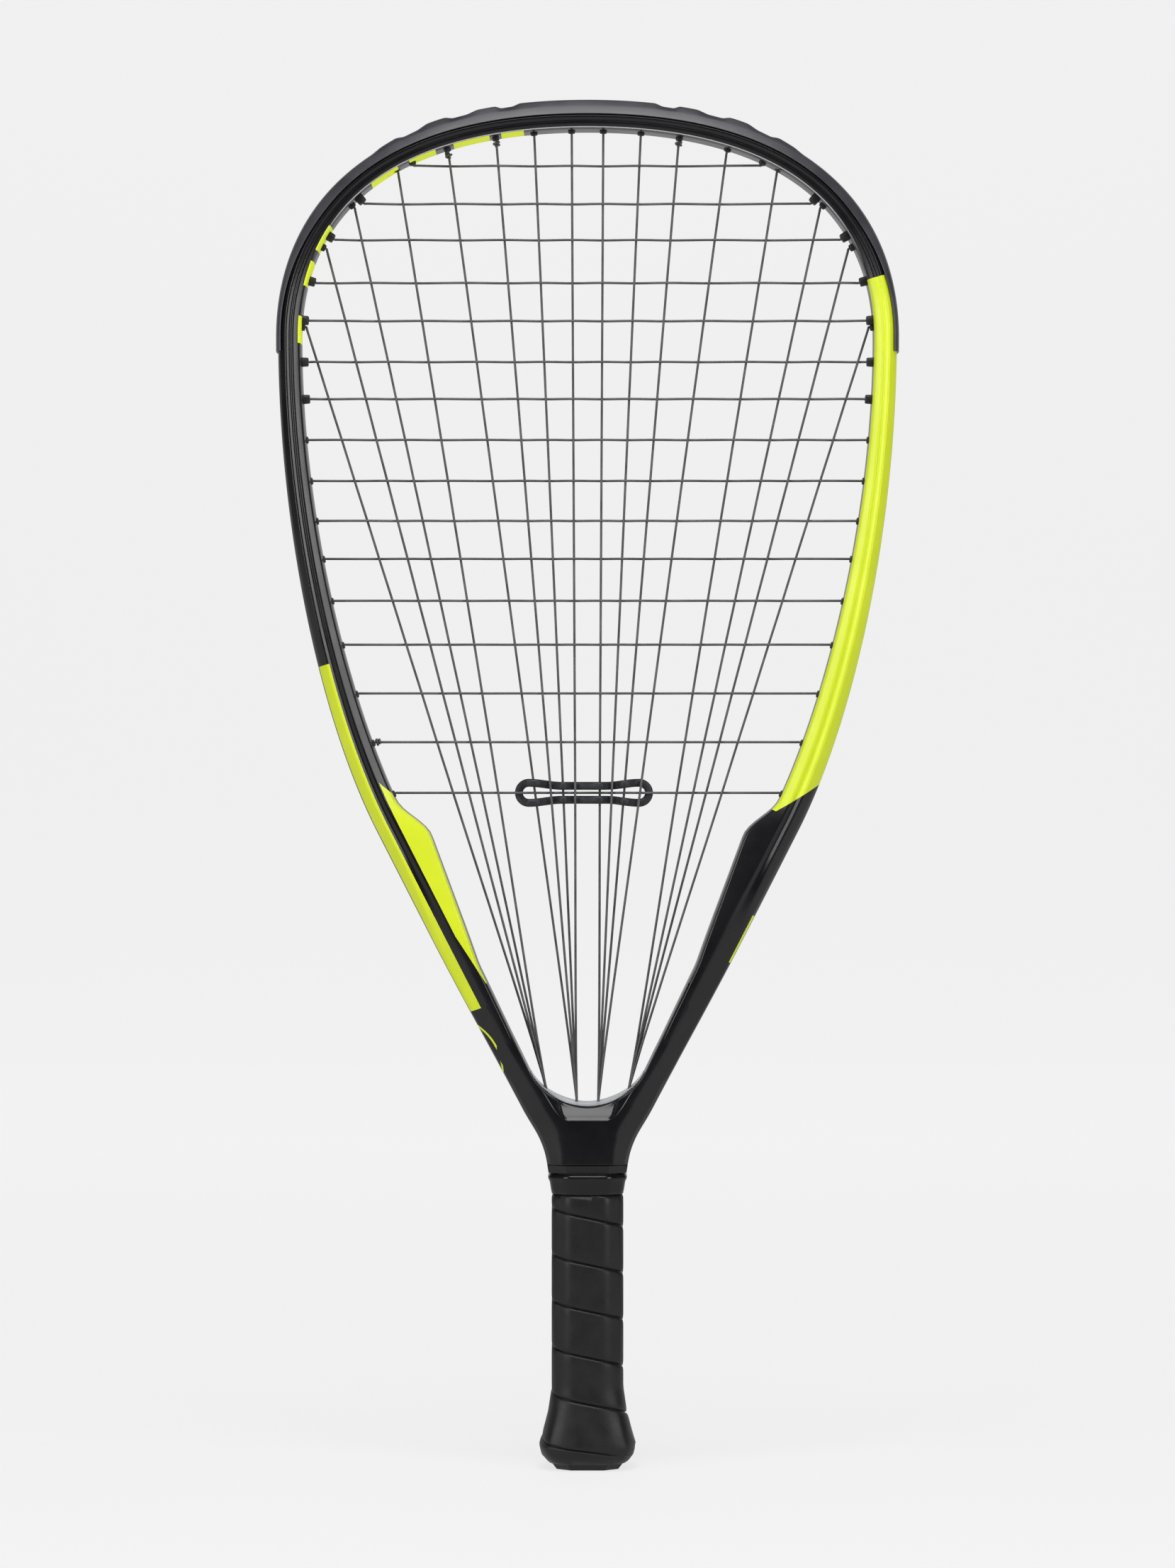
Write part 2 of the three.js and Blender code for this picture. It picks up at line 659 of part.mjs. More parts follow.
function drilledStrip(distances, holes) {
  const strip = toSolid(loft(alongFrame(distances, stripLevels)));
  const sleeves = holes.map((hole) => {
    const halfWidth = tubeWidth(hole.distance) / 2;
    return hoopBar(hole, hole.half, halfWidth + hole.reach, halfWidth - grooveDepth + sleeveRootDepth);
  });
  const bores = holes.map((hole) => {
    const halfWidth = tubeWidth(hole.distance) / 2;
    return hoopBar(hole, boreHalf, halfWidth + hole.reach + cutOverrun, halfWidth);
  });
  return cutAll(joinAll([strip, ...sleeves]), bores);
}

const stationsWithin = (from, to) => inOrder([
  from, ...halfStations.filter((station) => station > from && station < to), to]);
addPiece("head_grommet_strip", toGeometry(drilledStrip(
  bothSides(stationsWithin(0, headStripEnd)), headHoles)), sleeveBlack);
[[-1, "side_grommet_strip_left"], [1, "side_grommet_strip_right"]].forEach(([side, name]) => {
  const distances = stationsWithin(headStripEnd + seatGap, grooveEndDistance - seatGap)
    .map((distance) => side * distance);
  const holes = sideHoles.filter(({ distance }) => distance * side > 0);
  addPiece(name, toGeometry(drilledStrip(distances, holes)), sleeveBlack);
});

// Throat strip: a curved clear moulding on the throat's floor, with a slotted sleeve at each opening
const throatStripAngle = degToRad(56);
const throatStripHalfDepth = webHalfDepth - seatGap;
const throatStripSteps = 14;
const throatStripBand = toSolid(loft(numbers(0, throatStripSteps).map((i) => {
  const angle = lerp(-throatStripAngle, throatStripAngle, i / throatStripSteps);
  return {
    outline: rectangle(throatStripThickness / 2, throatStripHalfDepth),
    place: ({ x, y }) => new THREE.Vector3(
      (throatStripRadius + x) * Math.sin(angle), y,
      throatCentreHeight - (throatStripRadius + x) * Math.cos(angle)),
  };
})));
const throatSleeves = throatMouths.map((opening) => throatBar(
  opening, 0, sleeveRun(opening), sleeveHalfWidth, sleeveHalfDepth, 0));
const throatSlots = throatMouths.flatMap((opening) => [-1, 1].map((side) => throatBar(
  opening, throatStripThickness * 2, sleeveRun(opening) + cutOverrun,
  slotHalfWidth, slotHalfLength, side * slotCentre)));
addPiece("throat_grommet_strip", toGeometry(
  cutAll(joinAll([throatStripBand, ...throatSleeves]), throatSlots)), clearStrip);

// Head guard: a channel over the hoop's outer side, thickest over the crown, thinning down its ends
const guardEndDistance = flankDistance + 6;
const guardShoulderDistance = 105;
const flankGuardThickness = 0.95;
const guardFlangeThickness = 0.9;
const ribHeight = 0.85;
const guardLipShare = 0.78;
const guardEndLipShare = 0.2;
const guardCrownShare = 0.7;
const guardEdgeShare = 0.2;
const ribShapeShares = [[0, 1], [0.3, 0.95], [ribFootShare, 0.1], [0.82, 0]];
const ribRiseShares = [[0, 1], [0.3, 0.1], [0.8, 0]];

function guardThickness(distance, standing) {
  const thin = smoothstep(Math.abs(distance), firstRibDistance + ribPitch, guardShoulderDistance);
  const thickness = lerp(crownGuardThickness, flankGuardThickness, thin);
  return thickness - (1 - standing) * Math.min(ribHeight, thickness - flankGuardThickness);
}

// Distance along the hoop, and how much of the rib stands there
const guardHalf = [
  [0, 1], [plainHalfLength / 2, 1],
  ...ribRiseShares.map(([along, standing]) => (
    [lerp(plainHalfLength, firstRibDistance, along), standing])),
  ...numbers(0, ribCount - 1).flatMap((rib) => ribShapeShares.map(([along, standing]) => (
    [firstRibDistance + (rib + along) * ribPitch, standing]))),
  ...stationsWithin(ribEndDistance, guardEndDistance).map((distance) => [distance, 0]),
];

function guardStation(distance, standing) {
  const width = tubeWidth(distance);
  const halfDepth = tubeDepth(distance) / 2;
  const thickness = guardThickness(distance, standing);
  const across = (share) => width / 2 - share * width;
  const [[, wall], [kneeAcross, knee]] = outerWallShares;
  const [[crestAcross, crest]] = faceShares(distance);
  const wrapShare = lerp(guardLipShare, guardEndLipShare, smoothstep(
    Math.abs(distance), shoulderDistance, underShoulderDistance));
  const lipAcross = across(lerp(kneeAcross, crestAcross, wrapShare));
  const lipDepth = lerp(knee, crest, wrapShare) * halfDepth + seatGap;
  const outline = mirrored([
    flat(width / 2 + thickness, wall * halfDepth * guardCrownShare),
    flat(width / 2 + thickness * (1 - guardEdgeShare), wall * halfDepth + guardFlangeThickness),
    flat(across(kneeAcross) + guardFlangeThickness, knee * halfDepth + guardFlangeThickness),
    flat(lipAcross + seatGap / 2, lipDepth + guardFlangeThickness),
    flat(lipAcross, lipDepth),
    flat(across(kneeAcross) + seatGap, knee * halfDepth + seatGap),
    flat(width / 2 + seatGap, wall * halfDepth + seatGap / 2),
  ]);
  return { outline, place: ({ x, y }) => framePoint(distance, x, y) };
}

const guardStations = [
  ...guardHalf.slice(1).toReversed().map(([distance, standing]) => [-distance, standing]), ...guardHalf];
addPiece("bumper_guard", loft(guardStations.map(([distance, standing]) => (
  guardStation(distance, standing)))), guardGrey);

// String routes. A route is a list of points, and the string is a section swept with a ring at each.
class Route extends THREE.Curve {
  constructor(points) {
    super();
    this.points = points;
  }

  getPoint(share) {
    const place = clamp(share, 0, 1) * (this.points.length - 1);
    const index = Math.min(Math.floor(place), this.points.length - 2);
    return this.points[index].clone().lerp(this.points[index + 1], place - index);
  }

  getPointAt(share) {
    return this.getPoint(share);
  }

  // The direction at a point halves the corner between the runs before and after it
  getTangentAt(share) {
    const index = Math.round(share * (this.points.length - 1));
    const here = this.points[index];
    const before = this.points[Math.max(index - 1, 0)];
    const after = this.points[Math.min(index + 1, this.points.length - 1)];
    const towards = after.clone().sub(here).normalize();
    return here.clone().sub(before).normalize().add(towards)
      .normalize();
  }
}

const stringSides = 4;

function sweep(points, radius, sides) {
  const section = new THREE.Shape(Array.from({ length: sides }, (_, i) => {
    const angle = (i / sides) * 2 * Math.PI;
    return flat(radius * Math.cos(angle), radius * Math.sin(angle));
  }));
  return new THREE.ExtrudeGeometry(section, {
    steps: points.length - 1, extrudePath: new Route(points), bevelEnabled: false, curveSegments: 1,
  });
}

// A string leaves its sleeve round a small bend and lies down in the groove, heading one way along it
const bendRoom = 0.12;
const bendRadius = stringDiameter + bendRoom;
const bendShares = [0.25, 0.3];

function bendPoints(distance, lane, heading) {
  const top = laneHeight(distance);
  const [along, below] = bendShares;
  return [
    framePoint(distance + heading * along * bendRadius, top - below * bendRadius, lane.hole),
    framePoint(distance + heading * bendRadius, top, lerp(lane.hole, lane.run, below)),
  ];
}

// The run along the groove between two holes, out of one and into the other, over the hoop's facets
function grooveRun(from, to, lane, fromHole = lane, toHole = lane) {
  const heading = Math.sign(to - from);
  const room = bendRadius * 2;
  const passed = bothSides(halfStations).filter((station) => (
    (station - from) * heading > room && (to - station) * heading > room));
  const ordered = heading > 0 ? passed : passed.toReversed();
  return [
    ...bendPoints(from, { hole: fromHole, run: lane }, heading),
    ...ordered.map((distance) => framePoint(distance, laneHeight(distance), lane)),
    ...bendPoints(to, { hole: toHole, run: lane }, -heading).toReversed(),
  ];
}

// Half the distance between a main and a cross where they pass, and which of them lies in front
const weave = laneStep / 2;
const passRoom = 3.5;
const inFront = (main, cross) => (main + cross) % 2 === 0;
const sleeveMouth = (distance, reach, depth) => (
  framePoint(distance, -insideMouth(distance, reach), depth));

function mainLine(main) {
  const fromSide = Math.min(main, mainCount - 1 - main);
  const sharedCross = crossesSharedWithMains[fromSide];
  const reach = sharedCross === undefined ? crownSleeveReach : crossReach(sharedCross - 1);
  const top = sleeveMouth(mainDistances[main], reach, 0);
  const { mouth } = mouthOfMain(main);
  return { top, xAt: (height) => lerp(mouth.x, top.x, (height - mouth.y) / (top.z - mouth.y)) };
}

const mainLines = numbers(0, mainCount - 1).map((main) => mainLine(main));

const crossEnd = (cross) => sleeveMouth(crossDistances[cross], crossReach(cross), 0);
const crossEnds = numbers(0, crossCount - 1).map((cross) => crossEnd(cross));
const passes = (main, cross) => (
  mainLines[main].top.z > crossEnds[cross].z + passRoom
  && Math.abs(mainLines[main].xAt(crossEnds[cross].z)) < crossEnds[cross].x - stringDiameter);

// Rows of the four strings of an opening: a pair beside the web, and a pair outside it
const rowOf = (main) => {
  const fromMiddle = Math.abs(main - (mainCount - 1) / 2) - 0.5;
  const near = Math.floor(fromMiddle / 2) % 2 === 0;
  const side = inFront(main, crossCount - 1) ? -1 : 1;
  return side * (near ? nearRow : farRow);
};

const farTurnDrop = stringGap;

// A main from its hole in the hoop down to the throat, and the turn there to its neighbour
function mainStrand(main) {
  const { top, xAt } = mainLines[main];
  const { mouth, down, turn } = mouthOfMain(main);
  const row = rowOf(main);
  const woven = numbers(0, crossCount - 1).filter((cross) => passes(main, cross)).map((cross) => {
    const { z } = crossEnds[cross];
    return new THREE.Vector3(xAt(z), inFront(main, cross) ? -weave : weave, z);
  });
  const low = turn.clone().addScaledVector(down, Math.abs(row) > nearRow ? farTurnDrop : 0);
  return [
    top, ...woven,
    new THREE.Vector3(mouth.x, row, mouth.y), new THREE.Vector3(low.x, row, low.y)];
}

const turnShares = [0.25, 0.5, 0.75];

function throatTurn(main, next) {
  const { down, turn } = mouthOfMain(main);
  const [from, to] = [rowOf(main), rowOf(next)];
  const radius = Math.abs(from - to) / 2;
  return turnShares.map((share) => {
    const angle = share * Math.PI;
    const drop = radius * Math.sin(angle) + (radius > nearRow ? farTurnDrop : 0);
    return new THREE.Vector3(
      turn.x + down.x * drop, (from + to) / 2 + ((from - to) / 2) * Math.cos(angle),
      turn.y + down.y * drop);
  });
}

// A string's end: through the sleeve beside a strand, and once round that strand as a half hitch
const hitchSteps = 10;
const hitchTurns = 1.15;
const hitchRoom = 0.16;
const hitchRadius = laneStep + hitchRoom;
const hitchPitch = stringDiameter + stringGap;

function hitch(start, strandTop, strandNext, startDepth) {
  const along = strandNext.clone().sub(strandTop).normalize();
  const deep = new THREE.Vector3(0, Math.sign(startDepth), 0);
  deep.addScaledVector(along, -deep.dot(along)).normalize();
  const across = along.clone().cross(deep);
  return numbers(0, hitchSteps).map((i) => {
    const angle = (i / hitchSteps) * hitchTurns * 2 * Math.PI;
    const run = stringDiameter + (angle / (2 * Math.PI)) * hitchPitch;
    return strandTop.clone().addScaledVector(along, run)
      .addScaledVector(deep, hitchRadius * Math.cos(angle))
      .addScaledVector(across, hitchRadius * Math.sin(angle));
  });
}

function mainRoute() {
  const points = [];
  const tail = (main, hole) => {
    const [from, to] = [mainDistances[main], mainDistances[hole]];
    const strand = mainStrand(hole);
    const entry = sleeveMouth(to, crownSleeveReach, tailLane);
    return [...grooveRun(from, to, tailLane, 0, tailLane), entry,
      ...hitch(entry, strand[0], strand[1], tailLane)];
  };
  points.push(...tail(0, mainTailMain).toReversed());
  numbers(0, mainCount - 1).forEach((main) => {
    const strand = mainStrand(main);
    const downwards = main % 2 === 0;
    points.push(...(downwards ? strand : strand.toReversed()));
    if (main === mainCount - 1) return;
    if (downwards) points.push(...throatTurn(main, main + 1));
    else points.push(...grooveRun(mainDistances[main], mainDistances[main + 1], 0));
  });
  points.push(...tail(mainCount - 1, mainCount - 1 - mainTailMain));
  return points;
}

// A cross from its left hole to its right one, over and under the mains that it passes
function crossStrand(cross) {
  const hole = isSharedCross(cross + 1) ? crossLane : 0;
  const end = sleeveMouth(crossDistances[cross], crossReach(cross), hole);
  const woven = numbers(0, mainCount - 1).filter((main) => passes(main, cross)).map((main) => {
    const x = mainLines[main].xAt(end.z);
    return new THREE.Vector3(x, inFront(main, cross) ? weave : -weave, end.z);
  });
  return [new THREE.Vector3(-end.x, end.y, end.z), ...woven, end];
}

function crossRoute() {
  const holeDepth = (cross) => (isSharedCross(cross + 1) ? crossLane : 0);
  const points = [];
  const neighbour = mainStrand(crossTailMain);
  const entry = sleeveMouth(mainDistances[crossTailMain], crownSleeveReach, crossLane);
  points.push(...[
    ...grooveRun(-crossDistances[0], mainDistances[crossTailMain], crossLane), entry,
    ...hitch(entry, neighbour[0], neighbour[1], crossLane)].toReversed());
  numbers(0, crossCount - 1).forEach((cross) => {
    const strand = crossStrand(cross);
    const rightwards = cross % 2 === 0;
    points.push(...(rightwards ? strand : strand.toReversed()));
    if (cross === crossCount - 1) return;
    const side = rightwards ? 1 : -1;
    points.push(...grooveRun(side * crossDistances[cross], side * crossDistances[cross + 1], crossLane,
      holeDepth(cross), holeDepth(cross + 1)));
  });
  const last = crossCount - 1;
  const beside = crossStrand(last - 1);
  const lastEntry = sleeveMouth(-crossDistances[last - 1], sideSleeveReach, tailLane);
  points.push(
    ...grooveRun(-crossDistances[last], -crossDistances[last - 1], tailLane, 0, tailLane), lastEntry,
    ...hitch(lastEntry, beside[0], beside[1], tailLane));
  return points;
}

// The least gap of a string to itself, measured between samples that lie far apart along it
const searchCell = 4.6;
const apartAlong = 4;

function leastGap(points, radius) {
  const samples = [];
  const travelled = { length: 0 };
  points.slice(1).forEach((point, i) => {
    const span = point.distanceTo(points[i]);
    const count = Math.max(1, Math.ceil(span / radius));
    numbers(0, count - 1).forEach((k) => samples.push({
      at: points[i].clone().lerp(point, k / count), along: travelled.length + (span * k) / count }));
    travelled.length += span;
  });
  const key = (x, y, z) => `${x} ${y} ${z}`;
  const cells = new Map();
  samples.forEach((sample) => {
    const name = key(...sample.at.toArray().map((value) => Math.floor(value / searchCell)));
    if (!cells.has(name)) cells.set(name, []);
    cells.get(name).push(sample);
  });
  const least = { gap: Infinity, at: null };
  const around = [-1, 0, 1];
  samples.forEach((sample) => {
    const [x, y, z] = sample.at.toArray().map((value) => Math.floor(value / searchCell));
    around.forEach((i) => around.forEach((j) => around.forEach((k) => {
      (cells.get(key(x + i, y + j, z + k)) ?? []).forEach((other) => {
        if (other.along - sample.along < apartAlong) return;
        const gap = other.at.distanceTo(sample.at) - 2 * radius;
        if (gap < least.gap) Object.assign(least, { gap, at: sample.at });
      });
    })));
  });
  return least;
}

[["main_string", mainRoute()], ["cross_string", crossRoute()]].forEach(([name, points]) => {
  const { gap, at } = leastGap(points, stringDiameter / 2);
  const place = at.toArray().map((value) => value.toFixed(1)).join(", ");
  console.log(`${name}: least gap to itself ${gap.toFixed(2)} mm at ${place}, ${points.length} points`);
  addPiece(name, sweep(points, stringDiameter / 2, stringSides), stringGrey);
});

// Dampener: a closed rubber loop laid over the last cross, its two legs above and below that string. It
// bows in front of and behind the mains in turn, and its two eyes close behind the cross.
const damperHalfLength = 28.3;
const damperCentreX = -1.45;
const damperLeg = 3.3;
const damperThickness = 2.7;
const damperEyeHeight = 11.5;
const damperWaistHeight = 9;
const damperWaistHalfLength = 9;
const damperArcSteps = 6;
const damperLegSteps = 16;
const damperSlack = 0.15;
const damperEyeRoom = 0.6;
const damperBow = (stringDiameter + damperThickness) / 2 + seatGap - damperSlack;
const damperEyeDepth = (stringDiameter + damperThickness) / 2 + damperEyeRoom;
const damperHeight = crossEnds[crossCount - 1].z;
const damperEyeRadius = (damperEyeHeight - damperLeg) / 2;
const damperWaistRadius = (damperWaistHeight - damperLeg) / 2;
const damperEyeX = damperHalfLength - damperLeg / 2 - damperEyeRadius;
const damperMains = numbers(0, mainCount - 1).map((main) => ({
  x: mainLines[main].xAt(damperHeight) - damperCentreX,
  depth: inFront(main, crossCount - 1) ? damperBow : -damperBow,
})).filter(({ x }) => Math.abs(x) < damperEyeX + damperEyeRadius);

function damperDepth(x) {
  const reach = Math.abs(x);
  const between = (here, left, right) => lerp(left.depth, right.depth, smootherstep(here, left.x, right.x));
  const inner = damperMains.findIndex((main) => main.x > x);
  const { depth } = x < 0 ? damperMains[0] : damperMains[damperMains.length - 1];
  const swing = smoothstep(reach, damperEyeX, damperEyeX + damperEyeRadius);
  if (inner > 0) return lerp(between(x, damperMains[inner - 1], damperMains[inner]), damperEyeDepth, swing);
  return lerp(depth, damperEyeDepth, swing);
}

function damperPath() {
  const leg = numbers(1, damperLegSteps - 1).map((i) => {
    const x = lerp(damperEyeX, -damperEyeX, i / damperLegSteps);
    const half = lerp(damperWaistRadius, damperEyeRadius, clamp(
      (Math.abs(x) - damperWaistHalfLength) / (damperEyeX - damperWaistHalfLength), 0, 1));
    return flat(x, half);
  });
  const arc = numbers(0, damperArcSteps).map((i) => {
    const angle = (i / damperArcSteps - 1 / 2) * Math.PI;
    return flat(damperEyeX + damperEyeRadius * Math.cos(angle), damperEyeRadius * Math.sin(angle));
  });
  const half = [...arc, ...leg];
  return [...half, ...half.map(({ x, y }) => flat(-x, -y))];
}

function damperStations() {
  const path = damperPath();
  return path.map((point, i) => {
    const along = path[(i + 1) % path.length].clone()
      .sub(path[(i + path.length - 1) % path.length]).normalize();
    return {
      outline: [flat(damperLeg / 2, 0), flat(damperLeg / 4, damperThickness / 2),
        flat(-damperLeg / 4, damperThickness / 2), flat(-damperLeg / 2, 0),
        flat(-damperLeg / 4, -damperThickness / 2), flat(damperLeg / 4, -damperThickness / 2)],
      place: ({ x, y }) => new THREE.Vector3(
        damperCentreX + point.x + along.y * x, damperDepth(point.x) + y, damperHeight + point.y - along.x * x),
    };
  });
}

addPiece("vibration_dampener", loft(damperStations(), true), rubberBlack);

// Grip's outer form: straight, then flared to a bulge and drawn in to the butt. Heights are in shares of
// the cap's height, and growth in shares of the flare's whole growth over the straight grip.
const gripTopHeight = neckSeamHeight - gripTopDrop;
const flareGrowth = flareHalfWidth - gripHalfWidth;
const flareDepthShare = 0.86;
const bulgeShare = flareHeight / capTopHeight;
const flareShares = [
  [0, 0], [0.08, 0.36], [0.18, 0.82], [bulgeShare, 1], [0.43, 0.73], [0.7, 0.28], [1, 0]];

function gripForm(height, inset) {
  const level = clamp(height / capTopHeight, 0, 1);
  const after = clamp(flareShares.findIndex(([rise]) => rise >= level), 1, flareShares.length - 1);
  const [[low, from], [high, to]] = [flareShares[after - 1], flareShares[after]];
  const grow = flareGrowth * lerp(from, to, (level - low) / (high - low));
  return octagon(
    gripHalfWidth + grow - inset, gripHalfDepth + grow * flareDepthShare - inset,
    gripCornerWidth - inset / 2, gripCornerDepth - inset / 2);
}

const flareHeights = flareShares.map(([rise]) => rise * capTopHeight);
const formed = (heights, inset) => heights.map((height) => ({ height, outline: gripForm(height, inset) }));
const handleInset = tapeThickness + seatGap;

// Handle pallet: two foam halves that clasp the shanks, octagonal like the grip, necked down in the cap
// and lipped above the collar
const capWall = 1.5;
const capFloor = 4;
const palletFootHeight = capFloor + seatGap;
const palletLip = 3.8;
const collarTopHeight = neckSeamHeight - palletLip;
const lipFootHeight = collarTopHeight + seatGap;
const lipFootHalfWidth = 15.9;
const lipHalfWidth = 16.4;
const lipFootHalfDepth = 11;
const lipHalfDepth = 11.3;
const ledge = seatGap / 2;
const palletTopHeight = neckSeamHeight - seatGap;
const footInset = handleInset + capWall + seatGap;
const footForm = gripForm(capTopHeight, footInset);
const palletOutside = toSolid(stack([
  { height: palletFootHeight, outline: footForm },
  { height: capTopHeight + seatGap, outline: footForm },
  { height: capTopHeight + seatGap + ledge, outline: gripForm(gripTopHeight, handleInset) },
  { height: lipFootHeight, outline: gripForm(gripTopHeight, handleInset) },
  { height: lipFootHeight + ledge,
    outline: octagon(lipFootHalfWidth, lipFootHalfDepth, neckCornerWidth, neckCornerDepth) },
  { height: palletTopHeight,
    outline: octagon(lipHalfWidth, lipHalfDepth, neckCornerWidth, neckCornerDepth) },
]));
const shankSockets = [-1, 1].map((side) => (
  shankTube(side, seatGap, shankFootHeight - seatGap, neckSeamHeight + cutOverrun)));

function halfSpace(side) {
  const outline = rectangle(overallLength, overallLength / 2)
    .map(({ x, y }) => flat(x, y + side * (overallLength / 2 + seatGap / 2)));
  return toSolid(stack([{ height: 0, outline }, { height: overallLength, outline }]));
}

// Tacks that fix the cap to the pallet, one through each face, their heads sunk level with the cap
const tackHeight = 22;
const tackHeadRadius = 2.2;
const tackHeadThickness = 0.6;
const tackShankRadius = 0.8;
const tackSides = 10;
const tackGrip = 1.9;

function roundOutline(radius) {
  return numbers(0, tackSides - 1).map((i) => {
    const angle = (i / tackSides) * 2 * Math.PI;
    return flat(radius * Math.cos(angle), radius * Math.sin(angle));
  });
}

function tackBody(side, grow, overrun) {
  const face = Math.max(...gripForm(tackHeight + tackHeadRadius, handleInset).map(({ y }) => y));
  const foot = Math.max(...footForm.map(({ y }) => y));
  const level = (depth, radius) => ({
    outline: roundOutline(radius + grow),
    place: ({ x, y }) => new THREE.Vector3(x, side * depth, tackHeight + y),
  });
  const under = face - tackHeadThickness - grow;
  return toSolid(loft([
    level(face + overrun, tackHeadRadius), level(under, tackHeadRadius),
    level(under - ledge, tackShankRadius), level(foot - tackGrip - grow, tackShankRadius)]));
}

const tackHoles = [-1, 1].map((side) => tackBody(side, seatGap, tackHeadThickness + cutOverrun));

// Butt cap: a flared cup over the pallet's foot, with two lanyard holes through its floor
const lanyardHoleRadius = 2.6;
const lanyardHoleX = 5.2;
const socketForm = gripForm(capTopHeight, footInset - seatGap);
const capSocket = toSolid(stack([
  { height: capFloor, outline: socketForm }, { height: capTopHeight + cutOverrun, outline: socketForm }]));
const lanyardHoles = [-1, 1].map((side) => {
  const outline = roundOutline(lanyardHoleRadius).map(({ x, y }) => flat(x + side * lanyardHoleX, y));
  return toSolid(stack([
    { height: -cutOverrun, outline }, { height: capFloor + cutOverrun, outline }]));
});
const capOutside = toSolid(stack(formed(flareHeights, handleInset)));
addPiece("butt_cap", toGeometry(cutAll(capOutside, [capSocket, ...lanyardHoles, ...tackHoles])), rubberBlack);
[[-1, "front"], [1, "back"]].forEach(([side, name]) => {
  const half = cutAll(palletOutside, [...shankSockets, ...tackHoles]).intersect(halfSpace(side));
  addPiece(`handle_pallet_${name}`, toGeometry(half), foamGrey);
  addPiece(`butt_cap_tack_${name}`, toGeometry(tackBody(side, 0, 0)), steel);
});

// Grip: one tape wound round the handle and the cap, its turns parted by a narrow helical seam that
// opens outwards. The seam passes the octagon's corners, so that it follows its flat faces.
const seamWidth = 0.5;
const seamMouthWidth = 1.5;
const gripFootHeight = 2.6;
const seamDropAtRight = 13.8;
const seamHeightAtRight = gripTopHeight - seamDropAtRight;
const gripHeights = inOrder([
  gripFootHeight, ...flareHeights.filter((height) => height > gripFootHeight), gripTopHeight]);
const gripShell = toSolid(stack(formed(gripHeights, 0))).subtract(toSolid(stack(formed(
  [0, ...gripHeights, gripTopHeight + cutOverrun], tapeThickness))));

// How far round the grip each corner stands, in shares of the way round from the middle of its right side
const straightGrip = gripForm(gripTopHeight, 0);
const aroundAt = straightGrip.reduce((passed, corner, i) => {
  const before = i === 0 ? flat(corner.x, 0) : straightGrip[i - 1];
  return [...passed, (i === 0 ? 0 : passed[i - 1]) + corner.distanceTo(before)];
}, []);
const wayRound = aroundAt[aroundAt.length - 1] + straightGrip[0].y;
const cornerShares = aroundAt.map((passed) => passed / wayRound);
const seamTurns = Math.ceil((seamHeightAtRight - gripFootHeight) / tapePitch);
const seamSection = [[tapeThickness + cutOverrun, seamWidth], [-cutOverrun, seamMouthWidth]];
const seam = toSolid(loft(numbers(-1, seamTurns).flatMap((turn) => cornerShares.map((share, corner) => {
  const height = seamHeightAtRight - (turn + share) * tapePitch;
  return {
    outline: mirrored(seamSection.map(([inset, width]) => flat(inset, width / 2))),
    place: ({ x, y }) => {
      const point = gripForm(height, x)[corner];
      return new THREE.Vector3(point.x, point.y, height + y);
    },
  };
}))));
addPiece("grip_wrap", toGeometry(gripShell.subtract(seam)), tapeBlack);

// Collar over the top of the grip, and the narrow tape under it that holds the grip's end
const endTapeThickness = 0.45;
const endTapeWidth = 4.5;
const collarFootHeight = gripTopHeight + seatGap;
const collarLipRise = 5.9;
const collarLipHalfWidth = 16.15;
const collarLipHalfDepth = 12.6;
const endTapeInset = handleInset - seatGap;
const collarInset = endTapeInset - endTapeThickness - seatGap;

function ring(levels, inset) {
  const bore = gripForm(gripTopHeight, inset);
  const heights = levels.map(({ height }) => height);
  return toSolid(stack(levels)).subtract(toSolid(stack([
    { height: Math.min(...heights) - cutOverrun, outline: bore },
    { height: Math.max(...heights) + cutOverrun, outline: bore }])));
}

const collarLip = octagon(collarLipHalfWidth, collarLipHalfDepth, gripCornerWidth, gripCornerDepth);
const endTapeForm = gripForm(gripTopHeight, endTapeInset - endTapeThickness);
addPiece("grip_end_tape", toGeometry(ring([
  { height: collarFootHeight, outline: endTapeForm },
  { height: collarFootHeight + endTapeWidth, outline: endTapeForm }], endTapeInset)), tapeBlack);
addPiece("grip_collar", toGeometry(ring([
  { height: collarFootHeight, outline: gripForm(gripTopHeight, 0) },
  { height: collarFootHeight + collarLipRise, outline: collarLip },
  { height: collarTopHeight, outline: collarLip }], collarInset)), rubberBlack);

export default racket;
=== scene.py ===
# Racquetball racket, dressed for rendering: every piece is worked out in metres in the frame of the
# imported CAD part, in the order in which a maker puts the racket together.
from math import pi, radians

